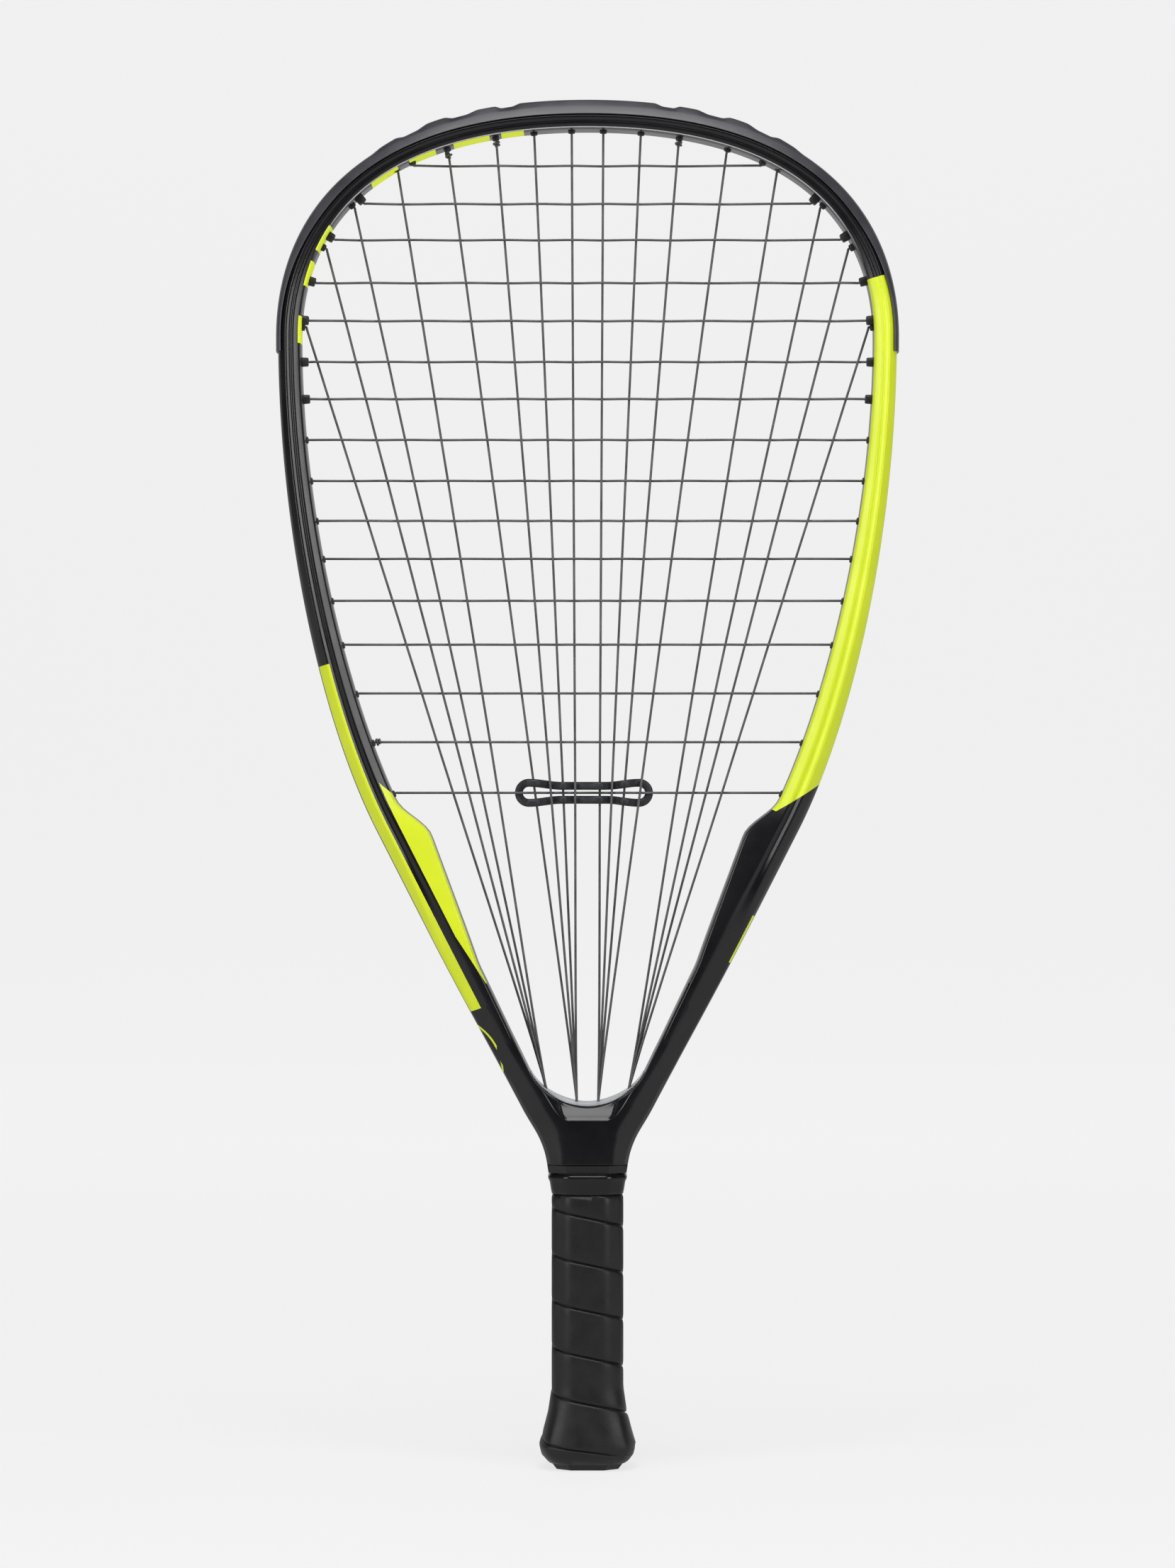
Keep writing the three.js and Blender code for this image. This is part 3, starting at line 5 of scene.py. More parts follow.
import bmesh
import bpy
import numpy as np
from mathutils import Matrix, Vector


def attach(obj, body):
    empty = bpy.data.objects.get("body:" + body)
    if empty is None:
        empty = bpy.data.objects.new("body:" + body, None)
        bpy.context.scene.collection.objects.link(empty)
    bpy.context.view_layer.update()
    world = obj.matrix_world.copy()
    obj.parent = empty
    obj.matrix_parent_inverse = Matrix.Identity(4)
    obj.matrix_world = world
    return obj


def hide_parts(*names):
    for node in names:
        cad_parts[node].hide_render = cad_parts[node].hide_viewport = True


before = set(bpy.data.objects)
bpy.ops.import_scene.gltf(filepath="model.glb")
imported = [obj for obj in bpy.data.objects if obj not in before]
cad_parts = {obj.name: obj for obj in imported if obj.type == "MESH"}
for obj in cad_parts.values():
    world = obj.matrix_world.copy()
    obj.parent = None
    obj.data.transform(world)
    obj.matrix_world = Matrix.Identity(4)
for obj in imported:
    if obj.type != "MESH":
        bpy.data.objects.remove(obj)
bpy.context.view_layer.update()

# Hoop: one hollow carbon tube, laid up over a bladder and cured in a mould, so that its outside has
# crisp facets. A groove runs along its outer edge for the strings. It is sprayed satin black, with
# masked lime panels, under a clear lacquer.
crown_height = 0.5511
crown_reach = 0.1024
head_half_width = 0.1216
widest_height = 0.4618
shoulder_rise = 0.036
flank_drop = 0.0772
arm_top_half_width = 0.0804
arm_top_height = 0.2629
arm_lead = 0.0483
arm_angle = radians(27)
arm_end_height = 0.13815
head_tube_width = 0.0094
arm_tube_width = 0.0126
throat_tube_width = 0.0093
head_tube_depth = 0.0196
arm_tube_depth = 0.0212
rail_width = 0.0066
groove_depth = 0.0025
station_spacing = 0.0028


def bezier(start, from_start, to_end, end, count=1500):
    """Cubic Bezier curve: the four points weighted by (1-t)^3, 3t(1-t)^2, 3t^2(1-t) and t^3."""
    t = np.linspace(0, 1, count)[:, None]
    points = [np.array(point) for point in (start, from_start, to_end, end)]
    weights = [(1 - t) ** 3, 3 * t * (1 - t) ** 2, 3 * t * t * (1 - t), t ** 3]
    return sum(weight * point for weight, point in zip(weights, points))


arm_down = np.array([-np.sin(arm_angle), -np.cos(arm_angle)])
arm_top = np.array([arm_top_half_width, arm_top_height])
arm_end = arm_top + arm_down * (arm_top_height - arm_end_height) / np.cos(arm_angle)
flank = (head_half_width, widest_height)
crown_curve = bezier((0, crown_height), (crown_reach, crown_height),
                     (head_half_width, widest_height + shoulder_rise), flank)
flank_curve = bezier(flank, (head_half_width, widest_height - flank_drop),
                     arm_top - arm_down * arm_lead, arm_top)
half_line = np.vstack([crown_curve, flank_curve[1:], np.linspace(arm_top, arm_end, 900)[1:]])
half_run = np.concatenate([[0], np.cumsum(np.linalg.norm(np.diff(half_line, axis=0), axis=1))])
half_course = np.gradient(half_line, half_run, axis=0)
flank_distance = half_run[len(crown_curve) - 1]
arm_distance = half_run[len(crown_curve) + len(flank_curve) - 2]
half_length = half_run[-1]


def hoop_point(distance, outward, depth):
    """A point of the hoop: the centreline's point at |distance| from the crown, moved outward along the
    line's normal in the face and by depth across it. Distances below zero mirror it to the left."""
    distance, outward, depth = np.broadcast_arrays(distance, outward, depth)
    reach = np.abs(distance)
    side = np.where(distance < 0, -1.0, 1.0)
    x, z = (np.interp(reach, half_run, half_line[:, k]) for k in (0, 1))
    course_x, course_z = (np.interp(reach, half_run, half_course[:, k]) for k in (0, 1))
    return np.stack([side * (x - course_z * outward), depth, z + course_x * outward], axis=-1)


def ease(value, low, high):
    """Smooth step: 3t^2 - 2t^3, where t is the share of the way from low to high, kept from 0 to 1."""
    t = np.clip((value - low) / (high - low), 0, 1)
    return t * t * (3 - 2 * t)


def tube_width(distance):
    """Width in the face: it eases from the head's to the arm's value, and again to the throat's."""
    reach = np.abs(distance)
    head_to_arm = ease(reach, flank_distance, arm_distance)
    width = head_tube_width + (arm_tube_width - head_tube_width) * head_to_arm
    arm_to_throat = ease(reach, arm_distance + arm_lead, half_length)
    return width + (throat_tube_width - width) * arm_to_throat


def tube_half_depth(distance):
    """Half the depth across the face, eased from the head's value to the arm's."""
    share = ease(np.abs(distance), flank_distance, arm_distance)
    return (head_tube_depth + (arm_tube_depth - head_tube_depth) * share) / 2


rail_start = arm_distance - 0.0088
rail_full = arm_distance + 0.0113
rail_end = arm_distance + 0.0676
groove_end = 0.377
groove_fade = 0.3896


def rail(distance):
    """The wing along the arm's inner edge: it eases out to its full width, then falls evenly to nothing."""
    reach = np.abs(distance)
    fall = np.clip((rail_end - reach) / (rail_end - rail_full), 0, 1)
    return rail_width * ease(reach, rail_start, rail_full) * fall


def groove(distance):
    """Depth of the outer groove, full round the head and eased out where the strings end."""
    return groove_depth * (1 - ease(np.abs(distance), groove_end, groove_fade))


def rounded(corners, cuts, steps=5):
    """Softens closed outlines, one per row: each corner becomes the short parabola
    (1-t)^2 a + 2t(1-t) corner + t^2 b, where a and b lie its cut before and after the corner, but never
    more than 0.45 of the way to the next one."""
    before = np.roll(corners, 1, axis=1) - corners
    after = np.roll(corners, -1, axis=1) - corners
    cut = np.broadcast_to(np.asarray(cuts)[..., None], corners.shape[:2] + (1,))

    def stepped(side):
        length = np.linalg.norm(side, axis=-1, keepdims=True)
        return corners + side * np.minimum(cut / np.maximum(length, 1e-9), 0.45)

    a, b, corner = (points[:, :, None] for points in (stepped(before), stepped(after), corners))
    t = np.linspace(0, 1, steps)[:, None]
    soft = (1 - t) ** 2 * a + 2 * t * (1 - t) * corner + t ** 2 * b
    return soft.reshape(len(corners), -1, corners.shape[-1])


def with_mirror(half):
    """Outlines completed by their mirror image in depth, in one closed order."""
    return np.concatenate([half, half[:, ::-1] * [1, -1]], axis=1)


def surface(name, points, round_rows=False, round_columns=True):
    """A mesh over grids of points (copies, rows, columns, 3), or over one grid. Neighbours in a grid
    share a face, rows and columns may close on themselves, and open ends of a closed outline get a fan
    about their middle."""
    grids = points.reshape(-1, *points.shape[-3:])
    copies, rows, columns = grids.shape[:3]
    index = np.arange(copies * rows * columns).reshape(copies, rows, columns)
    if round_rows:
        index = np.concatenate([index, index[:, :1]], axis=1)
    if round_columns:
        index = np.concatenate([index, index[:, :, :1]], axis=2)
    corners = [index[:, :-1, :-1], index[:, :-1, 1:], index[:, 1:, 1:], index[:, 1:, :-1]]
    quads = np.stack(corners, -1).reshape(-1, 4)
    places = points.reshape(-1, 3)
    fans = np.empty((0, 3), int)
    if round_columns and not round_rows:
        middle = len(places) + np.arange(2 * copies).reshape(2, copies, 1) + np.zeros(columns, int)
        places = np.vstack([places, grids[:, 0].mean(axis=1), grids[:, -1].mean(axis=1)])
        first = np.stack([middle[0], index[:, 0, 1:], index[:, 0, :-1]], -1)
        last = np.stack([middle[1], index[:, -1, :-1], index[:, -1, 1:]], -1)
        fans = np.concatenate([first, last]).reshape(-1, 3)
    triangles = np.vstack([quads[:, [0, 1, 2]], quads[:, [0, 2, 3]], fans])
    a, b, c = (places[triangles[:, k]] for k in range(3))
    if np.einsum("ij,ij->", a, np.cross(b, c)) < 0:
        quads, fans = quads[:, ::-1], fans[:, ::-1]
    mesh = bpy.data.meshes.new(name)
    mesh.from_pydata(places.tolist(), [], quads.tolist() + fans.tolist())
    mesh.shade_smooth()
    mesh.set_sharp_from_angle(angle=radians(40))
    piece = bpy.data.objects.new(name, mesh)
    bpy.context.scene.collection.objects.link(piece)
    return piece


def mark(piece, name, values):
    """Writes one number to each vertex, for the material to read. Fan middles take the last number."""
    flat = np.ravel(values).astype(np.float32)
    spare = len(piece.data.vertices) - len(flat)
    layer = piece.data.attributes.new(name, "FLOAT", "POINT")
    layer.data.foreach_set("value", np.concatenate([flat, np.full(spare, flat[-1])]))


def paint(red, green, blue):
    """A colour read off a screen, from 0 to 255, as the light that a shader works in."""
    share = np.array([red, green, blue]) / 255
    light = np.where(share <= 0.04045, share / 12.92, ((share + 0.055) / 1.055) ** 2.4)
    return (*light.tolist(), 1.0)


class Finish:
    """One node material in the making. Each method adds a node and gives back its output socket."""

    def __init__(self, name):
        self.material = bpy.data.materials.new(name)
        self.material.use_nodes = True
        self.tree = self.material.node_tree
        self.shader = self.tree.nodes["Principled BSDF"]

    def node(self, kind, output=0, settings=None, **inputs):
        made = self.tree.nodes.new(kind)
        for key, value in (settings or {}).items():
            setattr(made, key, value)
        for key, value in inputs.items():
            self.feed(made.inputs[int(key[1:]) if key[1:].isdigit() else key.replace("_", " ")], value)
        return made.outputs[output]

    def feed(self, socket, value):
        if isinstance(value, bpy.types.NodeSocket):
            self.tree.links.new(value, socket)
        else:
            socket.default_value = value

    def math(self, operation, a, b=0.0):
        return self.node("ShaderNodeMath", settings={"operation": operation}, i0=a, i1=b)

    def times(self, a, b):
        return self.math("MULTIPLY", a, b)

    def above(self, value, level):
        return self.math("GREATER_THAN", value, level)

    def below(self, value, level):
        return self.math("LESS_THAN", value, level)

    def between(self, value, low, high):
        """One where value lies from low to high, and zero elsewhere."""
        return self.times(self.above(value, low), self.below(value, high))

    def any_of(self, masks):
        whole = masks[0]
        for mask in masks[1:]:
            whole = self.math("MAXIMUM", whole, mask)
        return whole

    def all_of(self, masks):
        whole = masks[0]
        for mask in masks[1:]:
            whole = self.times(whole, mask)
        return whole

    def read(self, name):
        return self.node("ShaderNodeAttribute", "Fac", {"attribute_name": name})

    def place(self, stretch=(1, 1, 1)):
        spot = self.node("ShaderNodeTexCoord", "Object")
        return self.node("ShaderNodeMapping", Vector=spot, Scale=stretch)

    def noise(self, scale, stretch=(1, 1, 1), detail=3.0):
        return self.node("ShaderNodeTexNoise", "Fac", Vector=self.place(stretch), Scale=scale, Detail=detail)

    def blend(self, share, first, second):
        return self.node("ShaderNodeMix", 2, {"data_type": "RGBA"}, Factor=share, i6=first, i7=second)

    def span(self, value, low, high, from_low=0.35, from_high=0.65):
        """The value's range from_low to from_high carried over to low to high."""
        return self.node("ShaderNodeMapRange", Value=value, From_Min=from_low, From_Max=from_high,
                         To_Min=low, To_Max=high)

    def clouded(self, cloud, dark, light):
        """A colour that drifts with a noise from a dark screen colour to a light one."""
        return self.blend(self.span(cloud, 0, 1), paint(*dark), paint(*light))

    def bump(self, height, depth, strength=1.0, normal=None):
        extra = {} if normal is None else {"Normal": normal}
        return self.node("ShaderNodeBump", Height=height, Distance=depth, Strength=strength, **extra)

    def finish(self, **sockets):
        for key, value in sockets.items():
            self.feed(self.shader.inputs[key.replace("_", " ")], value)
        return self.material


black_paint, worn_black = (14, 13, 16), (19, 18, 22)
lime_paint, lime_shade = (232, 247, 44), (226, 243, 36)
# Pale grey of a painted highlight along the crown's inner front edge.
painted_edge_highlight = (214, 214, 217)
right_panel = (0.1462, 0.3549)
panel_end_slant, panel_last_share = 0.0182, 0.95
panel_facets, wing_facets_end, inner_wall_from = (1.9, 7.9), 7.8, 7.25
stripe = (0.3055, 0.4582)
stripe_end_slant = -0.0015
wing = (0.3395, 0.456)
wing_start_slant = 0.025
side_bar = (0.4143, 0.4358)
stripe_shares, bar_shares = (0.03, 0.42), (0.02, 0.085)
wing_share = 0.74
wing_tip_from, wing_tip_slope = 0.428, 9.3
sweep_middle, sweep_half, sweep_share, sweep_line, sweep_reach = 0.4755, 0.0108, 0.25, 0.035, 1.15
# The facets that the painted edge highlight covers, and where along the hoop it fades out.
painted_highlight_facets, painted_highlight_fade = (6.83, 7.17), (0.11, 0.14)
# The first value is the strength of painted light: an emission that makes the inner wall's lime dashes glow.
painted_dash_light, dash_matt, lime_matt = 0.28, 0.45, 0.1
dash_over_edge, dash_over_edge_from = 0.88, 0.115
dashes = [(0.0265, 0.036), (0.041, 0.0565), (0.0645, 0.0765), (0.082, 0.0955),
          (0.121, 0.133), (0.138, 0.149), (0.162, 0.1735)]


def hoop_finish():
    """Satin black with lime panels, masked by the distance along the hoop and by the facet. A pale line on
    the crown's inner front edge is a painted highlight, and the lime dashes on the inner wall glow as painted
    light.
    """
    look = Finish("lacquered_composite")
    along, facet, across = (look.read(name) for name in ("along", "facet", "across"))
    left = look.times(along, -1.0)
    share = look.math("MINIMUM", across, panel_last_share)
    slanted_end = look.math("SUBTRACT", along, look.times(share, panel_end_slant))
    panel = look.all_of([look.above(along, right_panel[0]), look.between(facet, *panel_facets),
                         look.below(slanted_end, right_panel[1])])
    stripe_edge = look.math("ADD", left, look.times(across, stripe_end_slant))
    band = look.all_of([look.above(left, stripe[0]), look.below(stripe_edge, stripe[1]),
                        look.between(across, *stripe_shares)])
    wing_edge = look.math("SUBTRACT", left, look.times(across, wing_start_slant))
    past = look.math("MAXIMUM", look.math("SUBTRACT", left, wing_tip_from), 0.0)
    wing_line = look.math("ADD", look.times(past, wing_tip_slope), wing_share)
    fin = look.all_of([look.above(wing_edge, wing[0]), look.below(left, wing[1]),
                       look.above(across, wing_line), look.below(facet, wing_facets_end)])
    bar = look.all_of([look.between(along, *side_bar), look.between(across, *bar_shares)])
    over_edge = look.times(look.above(across, dash_over_edge), look.above(left, dash_over_edge_from))
    inside = look.any_of([look.above(facet, inner_wall_from), over_edge])
    marks = look.times(look.any_of([look.between(left, *dash) for dash in dashes]), inside)
    shift = look.math("DIVIDE", look.math("SUBTRACT", left, sweep_middle), sweep_half)
    bow = look.times(look.math("SUBTRACT", 1.0, look.times(shift, shift)), sweep_share)
    off = look.math("ABSOLUTE", look.math("SUBTRACT", across, bow))
    line = look.times(look.below(off, sweep_line), look.below(look.math("ABSOLUTE", shift), sweep_reach))
    lime = look.any_of([panel, band, fin, bar, marks, line])
    cloud = look.noise(60)
    black = look.clouded(cloud, black_paint, worn_black)
    colour = look.blend(lime, black, look.clouded(cloud, lime_paint, lime_shade))
    # Painted highlight: a pale line on the inner front edge over the crown, fading towards the shoulders,
    # stands in for light caught by that edge.
    edge = look.times(look.between(facet, *painted_highlight_facets),
                      look.span(look.math("ABSOLUTE", along), 1, 0, *painted_highlight_fade))
    colour = look.blend(edge, colour, paint(*painted_edge_highlight))
    rough = look.math("ADD", look.span(cloud, 0.23, 0.3), look.times(lime, lime_matt))
    rough = look.math("ADD", rough, look.times(marks, dash_matt))
    # Painted light: the emission makes the lime dashes on the inner wall glow, brighter than their light
    # alone would make them.
    return look.finish(Base_Color=colour, Roughness=rough,
                       Normal=look.bump(look.noise(900, detail=1.0), 0.00002, 0.35),
                       Emission_Color=paint(*lime_paint), Emission_Strength=look.times(marks, painted_dash_light),
                       Specular_IOR_Level=0.45, Coat_Weight=0.1, Coat_Roughness=0.08)


lacquer = hoop_finish()
wall_depth_share, knee_share, knee_depth_share = 0.46, 0.1, 0.68
side_start = [[0, wall_depth_share], [knee_share, knee_depth_share]]
crown_shares = np.array([*side_start, [0.48, 0.98], [0.66, 0.87], [0.74, 0.89], [0.95, 0.8], [1, 0.5]])
flank_shares = np.array([*side_start, [0.35, 0.97], [0.53, 0.86], [0.65, 0.98], [0.95, 0.8], [1, 0.5]])
throat_shares = np.array([[0, 0.4], [0.03, 0.6], [0.12, 0.7], [0.6, 0.975], [0.78, 1], [0.93, 0.99],
                          [1, 0.7]])
groove_half_widths = [0.002475, 0.002775]
moved_by_rail = np.array([0, 0, 0, 0, 0, 1, 1])
shoulder_distance, under_shoulder_distance = 0.115, 0.168
hoop_end_room = 0.009
foot_sink_from, foot_sink_to, foot_sink = 0.028, 0.018, 0.0009
facet_spread = 0.35
head_cuts = np.array([0.0001, 0.0003, 0.0006, 0.0011, 0.0008, 0.0007, 0.0008, 0.0007, 0.0009])
throat_cuts = np.array([0.0001, 0.0003, 0.0004, 0.0006, 0.0012, 0.003, 0.002, 0.0008, 0.001])


def eased(distance, start, end, low, high):
    """A table that eases into another one over a stretch of the hoop, at each distance."""
    share = ease(np.abs(distance), low, high)
    return start + (end - start) * share.reshape(-1, *[1] * np.ndim(end))


def side_shares(distance):
    """The seven corners of the tube's side and face at each distance, as shares of its width and half
    depth: the crown's ease into the flank's at the shoulder, and those into the throat's by the rail."""
    flank = eased(distance, crown_shares, flank_shares, shoulder_distance, under_shoulder_distance)
    return eased(distance, flank, throat_shares, rail_full, rail_end)


def hoop_section(distance):
    """The tube's corners at each distance: the groove's floor and lip, the outer wall and its knee, then
    the face's corners, of which the last two are moved in by the rail."""
    width, half_depth = tube_width(distance)[:, None], tube_half_depth(distance)[:, None]
    lips = np.stack([np.hstack([width / 2 - groove(distance)[:, None], width / 2]),
                     0 * width + groove_half_widths], axis=-1)
    shares = side_shares(distance)
    to_foot = half_length - np.abs(distance)[:, None]
    sunk = foot_sink * (1 - ease(to_foot, foot_sink_to, foot_sink_from))
    moved = moved_by_rail * rail(distance)[:, None]
    facets = [width / 2 - shares[..., 0] * width - moved, shares[..., 1] * half_depth - sunk]
    return with_mirror(np.concatenate([lips, np.stack(facets, axis=-1)], axis=1))


def make_hoop():
    """The rounded section carried along the whole hoop, from the left arm's foot to the right one's, each
    of which ends inside the yoke."""
    end = half_length - hoop_end_room
    count = int(2 * end / station_spacing)
    distance = np.linspace(-end, end, count)
    cuts = eased(distance, head_cuts, throat_cuts, rail_full, rail_end)
    steps = 5
    section = rounded(hoop_section(distance), np.hstack([cuts, cuts[:, ::-1]]), steps)
    piece = surface("hoop", hoop_point(distance[:, None], section[..., 0], section[..., 1]))
    width = tube_width(distance)[:, None]
    corners = section.shape[1] // steps
    corner = np.arange(corners)[:, None] + np.linspace(-facet_spread, facet_spread, steps)
    corner = np.minimum(corner, corners - 1 - corner)
    mark(piece, "along", np.broadcast_to(distance[:, None], section.shape[:2]))
    mark(piece, "across", (width / 2 - section[..., 0]) / width)
    mark(piece, "facet", np.broadcast_to(corner.ravel(), section.shape[:2]))
    return piece


hoop = make_hoop()
hoop.data.materials.append(lacquer)
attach(hoop, "root")

# Yoke and neck: the block of the same moulding that joins the two arms. Its throat is a round floor,
# and under it each face has a scooped bay. The arms' broad outer facets run on down it, and it narrows
# to the handle's seam.
seam_height = 0.1242
neck_outline = np.array([[0.1242, 0.0164], [0.1273, 0.017], [0.1302, 0.0178], [0.1331, 0.0189],
                         [0.136, 0.0202], [0.1389, 0.0219], [0.1418, 0.0237]])
neck_half_depth, yoke_half_depth = 0.0114, 0.01078
yoke_top_height = 0.15
facet_heights = [0.1242, 0.136, 0.15, 0.164]
facet_widths = [0.0092, 0.0116, 0.0116, 0.0102]
yoke_half_width, yoke_fade_from, yoke_fade_to, yoke_sink = 0.041, 0.11, 0.095, 0.0003
seam_softness, edge_softness = 0.00035, 0.0009
throat_radius = 0.0263
throat_centre_height = 0.174
scoop_floor_height = 0.1424
scoop_height = 0.0066
scoop_depth = 0.0046
scoop_half_widths = np.array([[0, 0.0076], [0.1, 0.0089], [0.3, 0.0098], [0.8, 0.0108], [1, 0.0112],
                              [2, 0.0152]])
scoop_wall_slope, scoop_bow = 1.3, 0.45
plate_edge_softness, facet_blur, outline_blur = 0.001, 0.0011, 0.002
yoke_middle, seam_edge_reach, yoke_height_limit = 0.0164, (0.016, 0.018), 0.2
arm_foot_length, arm_foot_end, neck_top_height = 0.09, 0.006, 0.145

arm_reach = np.linspace(half_length - arm_foot_length, half_length - arm_foot_end, 200)
arm_outer = hoop_point(arm_reach, tube_width(arm_reach) / 2, 0)[::-1]
arm_inner = hoop_point(arm_reach, -tube_width(arm_reach) / 2, 0)[::-1]
outline = np.vstack([neck_outline, [(z, x) for x, _, z in arm_outer if z > neck_top_height]])


def soft_least(a, b, radius):
    """The lesser of two values, rounded where they meet: min(a, b) less r h^2 / 4, h = 1 - |a-b| / r."""
    near = np.clip(1 - np.abs(a - b) / radius, 0, 1)
    return np.minimum(a, b) - radius * near ** 2 / 4


def outer_edge(height):
    """Half the width at a height, over the neck and the foot of the arms: a table joined by straight
    lines and averaged over a short way up and down, which smooths its corners."""
    shifts = np.linspace(-outline_blur, outline_blur, 7)
    return np.mean([np.interp(height + shift, *outline.T) for shift in shifts], axis=0)


def yoke_depth(x, z):
    """Half the depth at a point of the face: the tube's own shares by the way in from the outer edge,
    averaged over a short way, then a flat plate, less the scoop, whose side walls rise steadily."""
    reach = np.abs(x)
    step = 0.0005
    slope = (outer_edge(z + step) - outer_edge(z - step)) / (2 * step)
    inset = (outer_edge(z) - reach) / np.sqrt(1 + slope ** 2)
    width = np.interp(z, facet_heights, facet_widths)
    shifts = np.linspace(-facet_blur, facet_blur, 9)
    shares = [np.interp((inset + shift) / width, *throat_shares[:-1].T) for shift in shifts]
    plate = neck_half_depth + (yoke_half_depth - neck_half_depth) * ease(z, seam_height, yoke_top_height)
    rise = (z - scoop_floor_height) / scoop_height
    sunk = np.clip(rise, -1, 1) * (1 + scoop_bow * (1 - np.minimum(np.abs(rise), 1)))
    bay = plate - scoop_depth * sunk + scoop_wall_slope * np.maximum(
        reach - np.interp(rise, *scoop_half_widths.T), 0)
    return soft_least(plate * np.mean(shares, axis=0), bay, plate_edge_softness)


def make_yoke():
    """Sections across the face from left to right: each runs up the front, over the throat's floor or
    the arm's inner edge, down the back and under, with its edges rounded by a quarter circle. At both
    sides it sinks just under the arms' surface, so that no seam shows."""
    inner = np.linspace(0, yoke_middle, 42)
    outer = np.linspace(yoke_middle + 0.00005, yoke_half_width, 72)
    x = np.concatenate([-outer[::-1], -inner[:0:-1], inner, outer])[:, None]
    reach = np.abs(x)

    def sink(height):
        down_arm = (reach - arm_top[0]) * arm_down[0] + (height - arm_top[1]) * arm_down[1]
        return yoke_sink * (1 - ease(down_arm, yoke_fade_to, yoke_fade_from))

    heights = np.linspace(seam_height, yoke_height_limit, 400)
    bottom = np.interp(reach, outer_edge(heights), heights)
    bottom = bottom + sink(bottom)
    floor = throat_centre_height - np.sqrt(np.maximum(throat_radius ** 2 - x ** 2, 0))
    top = np.where(reach < throat_radius * np.cos(arm_angle), floor,
                   np.interp(reach, arm_inner[:, 0], arm_inner[:, 2]))
    top = top - sink(top)
    rise = (1 - np.cos(np.linspace(0, pi, 72))) / 2
    z = bottom + (top - bottom) * rise
    low_edge = seam_softness + (edge_softness - seam_softness) * ease(reach, *seam_edge_reach)
    edge = np.where(z - bottom < top - z, low_edge, edge_softness)
    gap = np.clip(np.minimum(z - bottom, top - z), 0, edge)
    half_depth = yoke_depth(x, z) - sink(z) - edge + np.sqrt(edge ** 2 - (edge - gap) ** 2)
    level = np.linspace(-1, 1, 14)[1:-1]
    over = half_depth[:, -1:] * level
    under = half_depth[:, :1] * level[::-1]
    depth = np.hstack([-half_depth, over, half_depth[:, ::-1], under])
    height = np.hstack([z, 0 * over + top, z[:, ::-1], 0 * under + bottom])
    return surface("yoke", np.stack([np.broadcast_to(x, depth.shape), depth, height], axis=-1))


def plain_lacquer():
    """The frame's satin black without panels, for the pieces of the moulding that carry none."""
    look = Finish("satin_black")
    cloud = look.noise(60)
    return look.finish(Base_Color=look.clouded(cloud, black_paint, worn_black),
                       Roughness=look.span(cloud, 0.23, 0.3), Specular_IOR_Level=0.42,
                       Coat_Weight=0.2, Coat_Roughness=0.1,
                       Normal=look.bump(look.noise(900, detail=1.0), 0.00002, 0.35))


yoke = make_yoke()
satin_black = plain_lacquer()
yoke.data.materials.append(satin_black)
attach(yoke, "root")

# Shanks: two square carbon tubes of the same moulding, that run down from the neck inside the handle
# and stop above the butt. The pallets are bonded to them.
shank_middle_x = 0.00505
shank_half_width = 0.00365
shank_half_depth = 0.0063
shank_foot, shank_top = 0.009, 0.1271
shank_wall, shank_corner = 0.0014, 0.0014


def box_outline(half_width, half_depth, middle_x):
    """A level rectangle's four corners about a middle on the racket's plane."""
    return np.array([[middle_x + half_width, half_depth], [middle_x - half_width, half_depth],
                     [middle_x - half_width, -half_depth], [middle_x + half_width, -half_depth]])


def upright(outlines, heights):
    """Level outlines (levels, corners, 2) lifted to their heights."""
    lift = np.broadcast_to(np.asarray(heights)[:, None, None], outlines.shape[:2] + (1,))
    return np.concatenate([outlines, lift], axis=-1)


shank_pieces = []
for side, name in ((-1, "left"), (1, "right")):
    outside = box_outline(shank_half_width, shank_half_depth, side * shank_middle_x)
    inside = box_outline(shank_half_width - shank_wall, shank_half_depth - shank_wall, side * shank_middle_x)
    walls = rounded(np.stack([outside, outside, inside, inside]), np.full((1, 4), shank_corner))
    shank = surface(f"shank_{name}", upright(walls, [shank_foot, shank_top, shank_top, shank_foot]),
                    round_rows=True)
    shank.data.materials.append(satin_black)
    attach(shank, "root")
    shank_pieces.append(shank)
for piece in (hoop, yoke, *shank_pieces):
    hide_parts("frame")

# Grommet strips: nylon mouldings that lie in the hoop's outer groove, with a sleeve through the tube for
# every string hole. The sleeves of the upper crosses are stouter and reach further in.
string_diameter = 0.001
lane_step = 0.0016
bed_top = crown_height - head_tube_width / 2
bed_height = bed_top - 0.1477
cross_shares = np.array([0.036, 0.075, 0.112, 0.156, 0.195, 0.237, 0.275, 0.317,
                         0.359, 0.4, 0.439, 0.482, 0.527, 0.577, 0.627, 0.679])
crown_main_shares = np.array([0.468, 0.307, 0.179, 0.053])
crosses_with_mains = [5, 3, 2, 1]
main_beside = np.array([0.0029, 0.0055, 0.0045, 0.0073])
main_beside_reach = np.array([0.0015, 0.0018, 0.0015, 0.0004])
cross_count = len(cross_shares)
main_count = 16
first_stout, stout_count = 1, 7
stout_reach, crown_reach_in, side_reach = 0.0031, 0.0012, 0.0009
sleeve_shown = 0.85
mouth_room = 0.00025


def mouth(distance, reach, depth=0.0):
    """Where a string leaves its sleeve: inside the hoop's inner face by the sleeve's reach and a gap."""
    return hoop_point(distance, -(tube_width(distance) / 2 + reach + mouth_room), depth)


def found(reach, axis, targets, limit):
    """Distances at which a mouth's x or z passes the targets, read off a fine table."""
    distance = np.linspace(0, limit, 6000)
    values = mouth(distance, reach)[:, axis]
    order = np.argsort(values)
    return np.interp(targets, values[order], distance[order])


